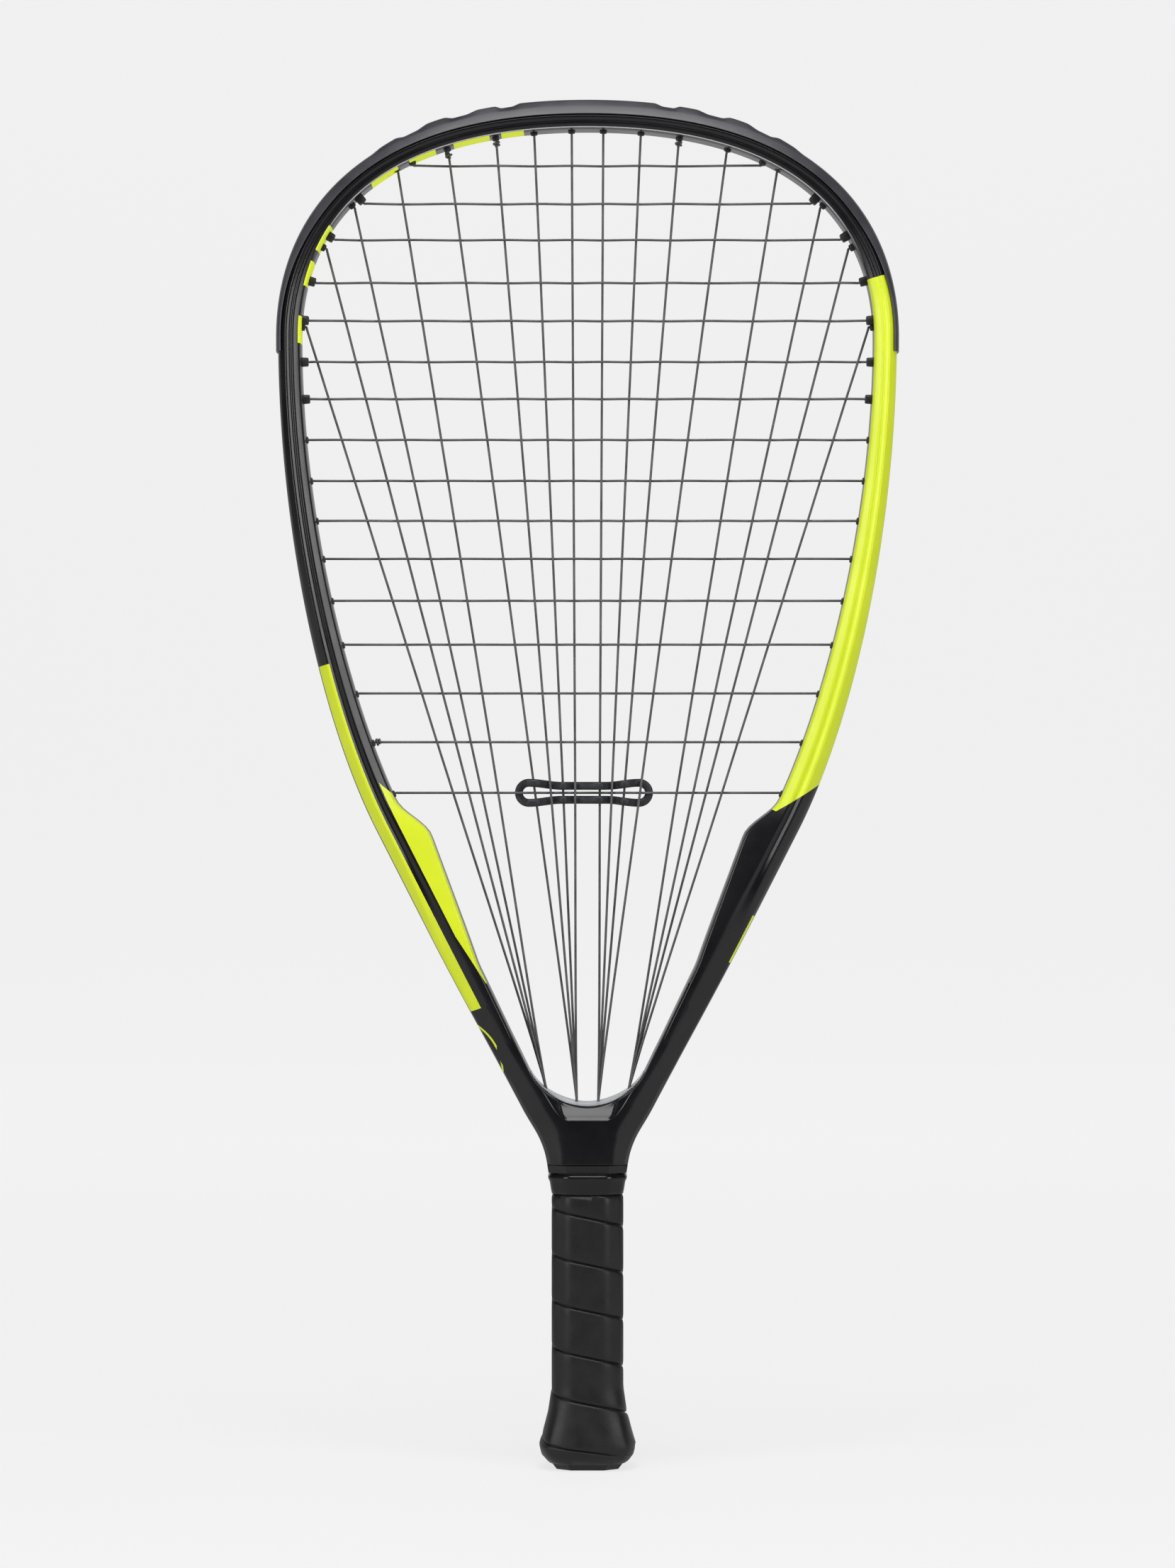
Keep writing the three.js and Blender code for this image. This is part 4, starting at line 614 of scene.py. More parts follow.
cross_heights = bed_top - cross_shares * bed_height
cross_reach = np.where(np.arange(cross_count) < stout_count, stout_reach, side_reach)
cross_reach[:first_stout] = crown_reach_in
cross_distances = np.array([
    found(reach, 2, height, arm_distance + arm_lead) for reach, height in zip(cross_reach, cross_heights)])
crown_main_distances = found(crown_reach_in, 0, crown_main_shares * head_half_width, flank_distance)
half_mains = np.concatenate([
    cross_distances[np.array(crosses_with_mains) - 1] + main_beside, crown_main_distances])
main_distances = np.concatenate([-half_mains, half_mains[::-1]])


def nylon(name, dark, light):
    """Moulded nylon: even colour with a slight cloud, and a fine frosted surface."""
    look = Finish(name)
    return look.finish(Base_Color=look.clouded(look.noise(180), dark, light),
                       Roughness=look.span(look.noise(400), 0.42, 0.55),
                       Normal=look.bump(look.noise(2500, detail=1.0), 0.00002, 0.3))


head_strip_end = (cross_distances[stout_count - 1] + cross_distances[stout_count]) / 2
strip_half_width, strip_thickness = 0.002175, 0.00075
plain_half, stout_half = 0.001515, 0.0019
bore = 0.00068
sleeve_power = 0.5
sleeve_taper, sleeve_lip, bore_depth = 0.94, 0.0004, 0.003
strip_seat, sleeve_seat, strip_corner, strip_gap = 0.0003, 0.0006, 0.0002, 0.0003


def strip_band(name, start, end):
    """A rounded strip on the groove's floor, from one distance to another."""
    distance = np.linspace(start, end, max(24, int(abs(end - start) / 0.004)))
    floor = tube_width(distance) / 2 - groove_depth + strip_seat
    half = np.stack([np.stack([floor + strip_thickness, 0 * floor + strip_half_width], -1),
                     np.stack([floor, 0 * floor + strip_half_width], -1)], axis=1)
    section = rounded(with_mirror(half), np.full((1, 4), strip_corner), 3)
    return surface(name, hoop_point(distance[:, None], section[..., 0], section[..., 1]))


def sleeves(name, distance, low, high, half, reach):
    """One tapered sleeve per hole: rings that run up its outside to the mouth, over a rounded lip and
    back down the bore. A ring is |x/a|^p + |y/b|^p = 1, squarish outside and round in the bore."""
    angle = np.linspace(0, 2 * pi, 24, endpoint=False)[None, :]
    cosine, sine = np.cos(angle), np.sin(angle)
    width = tube_width(distance)
    foot, tip = width / 2 - groove_depth + sleeve_seat, -(width / 2 + reach * sleeve_shown)
    taper, lip = sleeve_taper, sleeve_lip
    rings = [(foot, 0, 1, 1), (-width / 2, 0, 1, 1), (tip + lip, 0, taper, 1),
             (tip + lip * 0.3, -lip * 0.3, taper, 1), (tip, -lip, taper, 1), (tip, 0, 1, 0),
             (tip + bore_depth, 0, 1, 0), (foot, 0, 1, 0)]
    rows = []
    for outward, grow, taper, outer in rings:
        size = (half * taper + grow) if outer else bore + 0 * half
        power = sleeve_power if outer else 1.0
        across = size[:, None] * np.sign(cosine) * np.abs(cosine) ** power
        deep = ((high - low) / 2 + size)[:, None] * np.sign(sine) * np.abs(sine) ** power
        centre = hoop_point(distance, outward, (low + high) / 2)
        course = hoop_point(distance + 0.0005, 0, 0) - hoop_point(distance - 0.0005, 0, 0)
        course /= np.linalg.norm(course, axis=-1, keepdims=True)
        through = deep[..., None] * np.array([0, 1, 0])
        rows.append(centre[:, None] + across[..., None] * course[:, None] + through)
    return surface(name, np.stack(rows, axis=1), round_rows=True)


def hole_table():
    """Every hole of the hoop: distance, lowest and highest lane that it opens to, size and reach."""
    rows = []
    for cross in range(cross_count):
        shared = cross + 1 in crosses_with_mains
        stout = first_stout <= cross < stout_count
        for side in (-1, 1):
            tail = cross == cross_count - 2 and side < 0
            rows.append((side * cross_distances[cross], -lane_step if shared else 0, lane_step if tail else 0,
                         stout_half if stout else plain_half, cross_reach[cross]))
    for distance, reach in zip(half_mains, main_beside_reach):
        rows += [(side * distance, 0, 0, plain_half, reach) for side in (-1, 1)]
    for index, distance in enumerate(crown_main_distances):
        for side in (-1, 1):
            main = 4 + index if side < 0 else 11 - index
            rows.append((side * distance, -lane_step if main == 4 else 0, lane_step if main in (5, 10) else 0,
                         plain_half, crown_reach_in))
    return np.array(rows)


holes = hole_table()
head_end, groove_stop = head_strip_end, groove_end - strip_gap
sleeve_nylon = nylon("grommet_plastic", (30, 30, 32), (40, 40, 43))
for name, start, end in (("head", -head_end, head_end), ("side_left", -groove_stop, -head_end - strip_gap),
                         ("side_right", head_end + strip_gap, groove_stop)):
    inside = (holes[:, 0] > start) & (holes[:, 0] < end)
    strip = [strip_band(f"{name}_strip", start, end), sleeves(f"{name}_sleeves", *holes[inside].T)]
    node = "head_grommet_strip" if name == "head" else f"side_grommet_strip_{name[5:]}"
    for piece in strip:
        piece.data.materials.append(sleeve_nylon)
        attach(piece, "root")
        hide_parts(node)


throat_strip_half_angle = radians(62)
throat_strip_thin_from, throat_strip_seat, throat_strip_corner = radians(18), 0.0001, 0.0005
throat_strip_thick, throat_strip_thin, throat_strip_half_depth = 0.0015, 0.00025, 0.0059


def clear_nylon():
    """Water-clear nylon: mostly see-through, with faint flow marks."""
    look = Finish("clear_plastic")
    flow = look.noise(140, stretch=(1, 3, 1))
    return look.finish(Base_Color=look.clouded(flow, (214, 218, 222), (232, 235, 238)),
                       Roughness=look.span(flow, 0.12, 0.2), IOR=1.5,
                       Transmission_Weight=0.45, Normal=look.bump(flow, 0.0001, 0.3))


def make_throat_strip():
    """A rounded band on the throat's floor, along an arc about the throat's centre, thin at its ends."""
    angle = np.linspace(-throat_strip_half_angle, throat_strip_half_angle, 90)
    thickness = throat_strip_thin + (throat_strip_thick - throat_strip_thin) * (1 - ease(
        np.abs(angle), throat_strip_thin_from, throat_strip_half_angle))
    outer = throat_radius - throat_strip_seat
    half = np.stack([np.stack([outer - thickness, 0 * angle + throat_strip_half_depth], -1),
                     np.stack([0 * angle + outer, 0 * angle + throat_strip_half_depth], -1)], axis=1)
    section = rounded(with_mirror(half), np.full((1, 4), throat_strip_corner), 4)
    radius, depth = section[..., 0], section[..., 1]
    x = radius * np.sin(angle)[:, None]
    z = throat_centre_height - radius * np.cos(angle)[:, None]
    return surface("throat_strip", np.stack([x, depth, z], axis=-1))


throat_strip = make_throat_strip()
throat_strip.data.materials.append(clear_nylon())
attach(throat_strip, "root")
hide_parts("throat_grommet_strip")

# Head guard: a soft nylon channel pressed over the hoop's outer side. It is thick over the crown, with
# three raised ribs to each side, and thins out down the shoulders.
guard_end = flank_distance + 0.006
crown_thickness, flank_thickness = 0.003, 0.00095
flange = 0.0009
rib_height = 0.0012
plain_half_length, first_rib, rib_pitch, rib_count = 0.027, 0.0365, 0.0203, 3
guard_thin_from, guard_thin_to = first_rib + rib_pitch, 0.105
rib_shape = np.array([[0, 1], [0.36, 0.98], [0.58, 0.06], [0.86, 0]])
rib_rise = np.array([[0, 1], [0.3, 0.1], [0.8, 0]])
rib_blur, guard_gap = 0.0006, 0.00025
crown_wrap, flank_wrap = 0.78, 0.2
guard_flat_share, guard_flank_share = 0.7, 0.8
guard_cuts = np.array([0.0016, 0.0006, 0.0006, 0.0003, 0.0002, 0.0003, 0.0003])


def rib_standing(distance):
    """How much of a rib stands at a distance: a table of shares along each rib, joined by straight lines
    and then averaged over a short length, which rounds the ribs' feet and crests."""
    knots = [(0, 1), (plain_half_length / 2, 1)]
    knots += [(plain_half_length + along * (first_rib - plain_half_length), stands)
              for along, stands in rib_rise]
    knots += [(first_rib + (rib + along) * rib_pitch, stands)
              for rib in range(rib_count) for along, stands in rib_shape]
    knots += [(first_rib + rib_count * rib_pitch, 0)]
    places, values = np.array(knots).T
    shifts = np.linspace(-rib_blur, rib_blur, 7)
    return np.mean([np.interp(np.abs(distance) + shift, places, values) for shift in shifts], axis=0)


def make_guard():
    """The channel's rounded section carried over the crown from one end to the other. It follows the
    tube's wall and knee, and wraps a share of the way from the knee to the face's crest."""
    distance = np.linspace(-guard_end, guard_end, 420)
    width, half_depth = tube_width(distance), tube_half_depth(distance)
    thin = ease(np.abs(distance), guard_thin_from, guard_thin_to)
    full = crown_thickness + (flank_thickness - crown_thickness) * thin
    thickness = full - (1 - rib_standing(distance)) * np.minimum(rib_height, full - flank_thickness)
    gap, wall_deep = guard_gap, wall_depth_share * half_depth
    knee_out, knee_deep = width / 2 - knee_share * width, knee_depth_share * half_depth
    under_shoulder = ease(np.abs(distance), shoulder_distance, under_shoulder_distance)
    wrap = crown_wrap + (flank_wrap - crown_wrap) * under_shoulder
    crest = side_shares(distance)[:, 2]
    lip_out = width / 2 - (knee_share + wrap * (crest[:, 0] - knee_share)) * width
    lip_deep = (knee_depth_share + wrap * (crest[:, 1] - knee_depth_share)) * half_depth + gap
    corners = [(width / 2 + thickness, wall_deep * guard_flat_share),
               (width / 2 + thickness * guard_flank_share, wall_deep + flange),
               (knee_out + flange, knee_deep + flange), (lip_out + gap / 2, lip_deep + flange),
               (lip_out, lip_deep), (knee_out + gap, knee_deep + gap), (width / 2 + gap, wall_deep + gap / 2)]
    half = np.stack([np.stack(corner, axis=-1) for corner in corners], axis=1)
    section = rounded(with_mirror(half), np.concatenate([guard_cuts, guard_cuts[::-1]])[None, :])
    return surface("head_guard", hoop_point(distance[:, None], section[..., 0], section[..., 1]))


def guard_nylon():
    """Dark grey nylon, satin, with a slight cloud in its colour and a fine moulded grain."""
    look = Finish("guard_plastic")
    cloud = look.noise(70)
    return look.finish(Base_Color=look.clouded(cloud, (52, 51, 57), (62, 61, 67)),
                       Roughness=look.span(cloud, 0.34, 0.42), Specular_IOR_Level=0.7,
                       Normal=look.bump(look.noise(1800, detail=2.0), 0.00003, 0.4))


guard = make_guard()
guard.data.materials.append(guard_nylon())
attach(guard, "root")
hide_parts("bumper_guard")

# Main string: one length of grey polymer string, laced up and down through the hoop and turned back in
# the yoke. Each end is tied off with a half hitch round a neighbouring strand.
weave = lane_step / 2
string_radius = string_diameter / 2
cross_lane, tail_lane = -lane_step, lane_step
near_row = 0.0008 + string_radius
far_row = near_row + lane_step
throat_strip_radius = throat_radius - 0.0012
inner_mouth_angle, outer_mouth_angle = radians(10), radians(43)
inner_lean, outer_lean = radians(4), radians(13)
turn_height, far_turn_drop = 0.139, 0.00045
bend = string_diameter * 1.1
main_tail_hole, cross_tail_hole = 5, 4
hitch_turns, hitch_radius, hitch_pitch = 1.6, string_diameter * 1.08, string_diameter * 1.1
hitch_start = string_diameter * 0.1
groove_point_spacing = 0.008


def throat_mouth(angle, lean, side):
    """An opening of the throat's strip: its place on the strip, its way down, and where strings turn."""
    place = np.array([side * throat_strip_radius * np.sin(angle),
                      throat_centre_height - throat_strip_radius * np.cos(angle)])
    down = np.array([-side * np.sin(lean), -np.cos(lean)])
    return place, down, place + down * (place[1] - turn_height) / np.cos(lean)


inner_pair = [throat_mouth(inner_mouth_angle, inner_lean, side) for side in (-1, 1)]
outer_pair = [throat_mouth(outer_mouth_angle, outer_lean, side) for side in (-1, 1)]
throat_mouths = [outer_pair[0], inner_pair[0], inner_pair[1], outer_pair[1]]
main_numbers = np.arange(main_count)
half_reach = np.concatenate([main_beside_reach, np.full(4, crown_reach_in)])
main_reach = np.concatenate([half_reach, half_reach[::-1]])
main_tops = mouth(main_distances, main_reach)
main_feet = np.array([throat_mouths[main // 4][0] for main in main_numbers])
cross_ends = mouth(cross_distances, cross_reach)


def main_x(main, height):
    """Where a main stands at a height: on the straight line from its hole to its throat opening."""
    foot, top = main_feet[main], main_tops[main]
    return foot[0] + (top[0] - foot[0]) * (height - foot[1]) / (top[2] - foot[1])


def in_front(main, cross):
    """The weave: a main lies in front of every other cross, and its neighbour of the ones between."""
    return (main + cross) % 2 == 0


def passes(main, cross):
    """Whether a main and a cross meet: the main's hole is higher and its line lies inside the cross."""
    end = cross_ends[cross]
    return (main_tops[main][2] > end[2] + string_diameter * 3
            and abs(main_x(main, end[2])) < end[0] - string_diameter)


def row_of(main):
    """The depth at which a main goes through the throat: in the near or the far row, in front or behind."""
    from_middle = int(abs(main - (main_count - 1) / 2) - 0.5)
    row = near_row if (from_middle // 2) % 2 == 0 else far_row
    return -row if in_front(main, cross_count - 1) else row


def leaving(distance, reach, depth, onward):
    """Out of a sleeve: a point of its bore, its mouth, and a point of the straight way on from there."""
    out, ahead = mouth(distance, reach, depth), np.array(onward)
    return [tuple(mouth(distance, reach - bend, depth)), tuple(out),
            tuple(out + (ahead - out) * bend / np.linalg.norm(ahead - out))]


def main_strand(main):
    """A main from its sleeve, over and under the crosses, through the throat's strip to its turn."""
    foot, down, turn = throat_mouths[main // 4]
    row = row_of(main)
    woven = [(main_x(main, cross_ends[cross][2]), -weave if in_front(main, cross) else weave,
              cross_ends[cross][2]) for cross in range(cross_count) if passes(main, cross)]
    drop = far_turn_drop if abs(row) > near_row else 0
    low = turn + down * drop
    on = [*woven, (foot[0], row, foot[1])]
    return [*leaving(main_distances[main], main_reach[main], 0, on[0]), *on, (low[0], row, low[1])]


def throat_turn(main):
    """The half circle under the throat that joins a main to its neighbour."""
    _, down, turn = throat_mouths[main // 4]
    start, end = row_of(main), row_of(main + 1)
    radius = abs(start - end) / 2
    points = []
    for share in (0.25, 0.5, 0.75):
        drop = radius * np.sin(share * pi) + (far_turn_drop if radius > near_row else 0)
        low = turn + down * drop
        points.append((low[0], (start + end) / 2 + (start - end) / 2 * np.cos(share * pi), low[1]))
    return points


def lane_height(distance):
    """How far out from the centreline a string lies in the groove."""
    return tube_width(distance) / 2 - string_radius


def bend_points(distance, hole, lane, heading):
    """Out of a sleeve and down into the groove: two points of the small bend."""
    top = lane_height(distance)
    return [tuple(hoop_point(distance + heading * 0.25 * bend, top - 0.3 * bend, hole)),
            tuple(hoop_point(distance + heading * bend, top, hole + 0.3 * (lane - hole)))]


def groove_run(start, end, lane, start_hole=None, end_hole=None):
    """The run along the outer groove from one sleeve to the next, in one of the groove's lanes."""
    start_hole, end_hole = (lane if hole is None else hole for hole in (start_hole, end_hole))
    heading = np.sign(end - start)
    room = heading * bend * 2
    count = max(2, int(abs(end - start) / groove_point_spacing))
    between = np.linspace(start + room, end - room, count) if abs(end - start) > 5 * bend else []
    passed = [tuple(hoop_point(distance, lane_height(distance), lane)) for distance in between]
    return [*bend_points(start, start_hole, lane, heading), *passed,
            *bend_points(end, end_hole, lane, -heading)[::-1]]


def hitch(strand_top, strand_next, start_depth):
    """A half hitch: a helix of hitch_turns round a strand, just where the strand leaves its sleeve."""
    top, onward = np.array(strand_top), np.array(strand_next)
    course = (onward - top) / np.linalg.norm(onward - top)
    deep = np.array([0, np.sign(start_depth), 0])
    deep = deep - course * deep.dot(course)
    deep /= np.linalg.norm(deep)
    across = np.cross(course, deep)
    angle = np.linspace(0, hitch_turns * 2 * pi, 19)[:, None]
    run = hitch_start + angle / (2 * pi) * hitch_pitch
    coil = top + course * run + hitch_radius * (deep * np.cos(angle) + across * np.sin(angle))
    return [tuple(point) for point in coil]


def main_route():
    """The whole main string: a tied end, then down and up through the bed, and the other tied end."""
    def tail(main, hole):
        start, end = main_distances[main], main_distances[hole]
        strand = main_strand(hole)
        return [*groove_run(start, end, tail_lane, 0, tail_lane),
                tuple(mouth(end, crown_reach_in, tail_lane)), *hitch(strand[1], strand[2], tail_lane)]

    route = tail(0, main_tail_hole)[::-1]
    for main in range(main_count):
        strand = main_strand(main)
        route += strand if main % 2 == 0 else strand[::-1]
        if main == main_count - 1:
            break
        route += throat_turn(main) if main % 2 == 0 else groove_run(
            main_distances[main], main_distances[main + 1], 0)
    return route + tail(main_count - 1, main_count - 1 - main_tail_hole)


def cord_line(route, steps=5):
    """A smooth line through the route: between two points it is a cubic whose slopes are the centripetal
    Catmull-Rom ones, so it neither overshoots at a bend nor flattens over a crossing."""
    points = np.array(route)
    points = np.vstack([2 * points[0] - points[1], points, 2 * points[-1] - points[-2]])
    knots = np.concatenate([[0], np.cumsum(np.linalg.norm(np.diff(points, axis=0), axis=1) ** 0.5)])
    p0, p1, p2, p3 = points[:-3], points[1:-2], points[2:-1], points[3:]
    t0, t1, t2, t3 = (knots[k:len(knots) - 3 + k][:, None] for k in range(4))
    slope_1 = (t2 - t1) * ((p1 - p0) / (t1 - t0) - (p2 - p0) / (t2 - t0) + (p2 - p1) / (t2 - t1))
    slope_2 = (t2 - t1) * ((p2 - p1) / (t2 - t1) - (p3 - p1) / (t3 - t1) + (p3 - p2) / (t3 - t2))
    s = (np.arange(steps) / steps)[None, :, None]
    p1, p2, slope_1, slope_2 = (value[:, None] for value in (p1, p2, slope_1, slope_2))
    line = ((2 * s ** 3 - 3 * s ** 2 + 1) * p1 + (s ** 3 - 2 * s ** 2 + s) * slope_1
            + (3 * s ** 2 - 2 * s ** 3) * p2 + (s ** 3 - s ** 2) * slope_2)
    return np.vstack([line.reshape(-1, 3), points[-2]])


def tube(name, line, radius, sides=10):
    """A round string along a line. At each point a normal is taken, and turned back by the twist that
    it has gathered against the normal carried along the line, so the sides run straight."""
    course = np.gradient(line, axis=0)
    course /= np.linalg.norm(course, axis=1, keepdims=True)
    normal = np.cross(course, np.eye(3)[np.abs(course).argmin(axis=1)])
    normal /= np.linalg.norm(normal, axis=1, keepdims=True)
    here, onward = course[:-1], course[1:]
    slip = (normal[:-1] * onward).sum(1, keepdims=True) / (1 + (here * onward).sum(1, keepdims=True))
    carried = normal[:-1] - slip * (here + onward)
    twist = np.arctan2((np.cross(carried, normal[1:]) * onward).sum(1), (carried * normal[1:]).sum(1))
    turn = np.concatenate([[0], -np.cumsum(twist)])[:, None]
    binormal = np.cross(course, normal)
    angle = turn + np.linspace(0, 2 * pi, sides, endpoint=False)
    ring = normal[:, None] * np.cos(angle)[..., None] + binormal[:, None] * np.sin(angle)[..., None]
    piece = surface(name, line[:, None] + radius * ring)
    run = np.concatenate([[0], np.cumsum(np.linalg.norm(np.diff(line, axis=0), axis=1))])
    mark(piece, "run", np.repeat(run, sides))
    return piece


def string_polymer():
    """Charcoal polymer string: a smooth coating with slight clouds along its run."""
    look = Finish("string")
    cloud = look.node("ShaderNodeTexNoise", "Fac", {"noise_dimensions": "1D"}, W=look.read("run"),
                      Scale=90.0, Detail=3.0)
    return look.finish(Base_Color=look.clouded(cloud, (76, 75, 77), (92, 91, 93)),
                       Roughness=look.span(cloud, 0.28, 0.36),
                       Normal=look.bump(look.noise(3000, detail=1.0), 0.00001, 0.3))


polymer = string_polymer()
mains = tube("mains", cord_line(main_route()), string_radius)
mains.data.materials.append(polymer)
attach(mains, "root")
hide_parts("main_string")

# Cross string: a second length of the same string, woven over and under the mains from side to side, in
# its own lane of the outer groove, and tied off at its top and bottom ends.


def cross_hole_depth(cross):
    """A cross that shares its sleeve with a main leaves it in the groove's rear lane."""
    return cross_lane if cross + 1 in crosses_with_mains else 0


def cross_strand(cross):
    """A cross from its left sleeve to its right one, behind a main where the main stands in front."""
    hole = cross_distances[cross], cross_reach[cross], cross_hole_depth(cross)
    height = cross_ends[cross][2]
    woven = [(main_x(main, height), weave if in_front(main, cross) else -weave, height)
             for main in range(main_count) if passes(main, cross)]
    right = leaving(*hole, woven[-1])
    mirrored = leaving(*hole, (-woven[0][0], woven[0][1], height))
    return [*[(-x, y, z) for x, y, z in mirrored], *woven, *right[::-1]]


def cross_route():
    """The whole cross string, from its tie beside the crown to its tie at the lowest cross."""
    neighbour = main_strand(cross_tail_hole)
    entry = main_distances[cross_tail_hole]
    route = [*groove_run(-cross_distances[0], entry, cross_lane),
             tuple(mouth(entry, crown_reach_in, cross_lane)),
             *hitch(neighbour[1], neighbour[2], cross_lane)][::-1]
    for cross in range(cross_count):
        strand = cross_strand(cross)
        side = 1 if cross % 2 == 0 else -1
        route += strand if side > 0 else strand[::-1]
        if cross < cross_count - 1:
            route += groove_run(side * cross_distances[cross], side * cross_distances[cross + 1], cross_lane,
                                cross_hole_depth(cross), cross_hole_depth(cross + 1))
    beside = cross_strand(cross_count - 2)
    last, before = -cross_distances[-1], -cross_distances[-2]
    return route + [*groove_run(last, before, tail_lane, 0, tail_lane),
                    tuple(mouth(before, side_reach, tail_lane)), *hitch(beside[1], beside[2], tail_lane)]


crosses = tube("crosses", cord_line(cross_route()), string_radius)
crosses.data.materials.append(polymer)
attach(crosses, "root")
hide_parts("cross_string")

# Dampener: a closed loop of soft rubber, pushed over the lowest cross so that it bows in front of and
# behind the mains in turn. Its two eyes close behind that cross.
damper_half_length = 0.0283
damper_centre_x = -0.00145
damper_leg, damper_thickness = 0.0033, 0.0027
damper_eye_height, damper_waist_height = 0.0115, 0.009
damper_waist_half_length = 0.009
damper_eye_radius = (damper_eye_height - damper_leg) / 2
damper_waist_radius = (damper_waist_height - damper_leg) / 2
damper_eye_x = damper_half_length - damper_leg / 2 - damper_eye_radius
damper_bow = (string_diameter + damper_thickness) / 2 + 0.00015
damper_eye_depth = (string_diameter + damper_thickness) / 2 + 0.0006
damper_height = cross_ends[-1][2]
damper_squareness = 0.75


def damper_depth(x):
    """Depth of the loop: it eases from one side of a main to the other side of the next, and back
    behind the cross at its eyes."""
    centres = [(main_x(main, damper_height) - damper_centre_x, in_front(main, cross_count - 1))
               for main in range(main_count)]
    held = [(at, damper_bow if front else -damper_bow) for at, front in centres
            if abs(at) < damper_eye_x + damper_eye_radius]
    depth = np.full(x.shape, held[0][1])
    for (_, before), (at, after), (start, _) in zip(held, held[1:], held):
        t = np.clip((x - start) / (at - start), 0, 1)
        depth = depth + (after - before) * t ** 3 * (t * (6 * t - 15) + 10)
    swing = ease(np.abs(x), damper_eye_x, damper_eye_x + damper_eye_radius)
    return depth + (damper_eye_depth - depth) * swing


def make_damper():
    """A rounded bar carried round the loop: a half circle at each eye, and legs that ease in to the
    waist."""
    angle = np.linspace(-pi / 2, pi / 2, 28)
    arc = np.stack([damper_eye_x + damper_eye_radius * np.cos(angle), damper_eye_radius * np.sin(angle)], -1)
    x = np.linspace(damper_eye_x, -damper_eye_x, 110)[1:-1]
    share = ease(np.abs(x), damper_waist_half_length, damper_eye_x)
    leg = np.stack([x, damper_waist_radius + (damper_eye_radius - damper_waist_radius) * share], -1)
    loop = np.vstack([arc, leg, -arc, -leg])
    ahead = np.roll(loop, -1, axis=0) - np.roll(loop, 1, axis=0)
    ahead /= np.linalg.norm(ahead, axis=1, keepdims=True)
    turn = np.linspace(0, 2 * pi, 20, endpoint=False)
    out, deep = (half * np.sign(value) * np.abs(value) ** damper_squareness for half, value in (
        (damper_leg / 2, np.cos(turn)), (damper_thickness / 2, np.sin(turn))))
    x = damper_centre_x + loop[:, :1] + ahead[:, 1:] * out
    z = damper_height + loop[:, 1:] - ahead[:, :1] * out
    y = damper_depth(loop[:, 0])[:, None] + deep
    return surface("dampener", np.stack([x, y, z], axis=-1), round_rows=True)


def soft_rubber():
    """Dark grey silicone rubber with a dusty bloom."""
    look = Finish("soft_rubber")
    cloud = look.noise(240)
    return look.finish(Base_Color=look.clouded(cloud, (34, 35, 38), (44, 45, 49)),
                       Roughness=look.span(cloud, 0.5, 0.62),
                       Normal=look.bump(look.noise(2200, detail=2.0), 0.00002, 0.35))


damper = make_damper()
damper.data.materials.append(soft_rubber())
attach(damper, "root")
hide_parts("vibration_dampener")

# Pallets: two halves of rigid foam, bonded round the shanks to give the handle its octagon. Their upper
# lip, between the collar and the neck, is sprayed black with the frame.
pallet_lip_height = 0.1205


def pallet_foam():
    """Fine closed-cell foam: small cells as pits and specks, under black paint on the lip."""
    look = Finish("foam")
    cells = look.node("ShaderNodeTexVoronoi", "Distance", Vector=look.place(), Scale=900.0)
    foam = look.blend(look.span(cells, 0, 1, 0, 1), paint(96, 98, 101), paint(122, 124, 127))
    height = look.node("ShaderNodeSeparateXYZ", "Z", Vector=look.place())
    lip = look.above(height, pallet_lip_height)
    black = look.clouded(look.noise(60), black_paint, worn_black)
    rough = look.math("SUBTRACT", look.span(cells, 0.75, 0.9, 0, 1), look.times(lip, 0.4))
    pitted = look.math("SUBTRACT", 0.5, look.times(lip, 0.45))
    return look.finish(Base_Color=look.blend(lip, foam, black), Roughness=rough,
                       Normal=look.bump(cells, 0.0002, pitted))


def coat(name, material):
    """Gives one of the CAD part's own solids its material."""
    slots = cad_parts[name].data.materials
    slots.clear()
    slots.append(material)


foam = pallet_foam()
for name in ("handle_pallet_front", "handle_pallet_back"):
    coat(name, foam)

# Butt cap and tacks: a flared cup of moulded rubber, pushed over the handle's foot and fixed by a
# plated steel tack through each broad face, under the grip.


def cap_rubber_finish():
    """Black moulded rubber: a faint grain and a satin skin."""
    look = Finish("cap_rubber")
    cloud = look.noise(120)
    return look.finish(Base_Color=look.clouded(cloud, (18, 16, 18), (25, 23, 25)),
                       Roughness=look.span(cloud, 0.5, 0.6),
                       Normal=look.bump(look.noise(1500, detail=2.0), 0.00003, 0.35))


def tack_steel_finish():
    """Plated steel with fine turned scratches."""
    look = Finish("tack_steel")
    lines = look.noise(700, stretch=(1, 1, 12))
    return look.finish(Base_Color=look.clouded(lines, (168, 170, 172), (196, 198, 200)), Metallic=1.0,
                       Roughness=look.span(lines, 0.28, 0.4))


cap_rubber = cap_rubber_finish()
tack_steel = tack_steel_finish()
coat("butt_cap", cap_rubber)
coat("butt_cap_tack_front", tack_steel)
coat("butt_cap_tack_back", tack_steel)

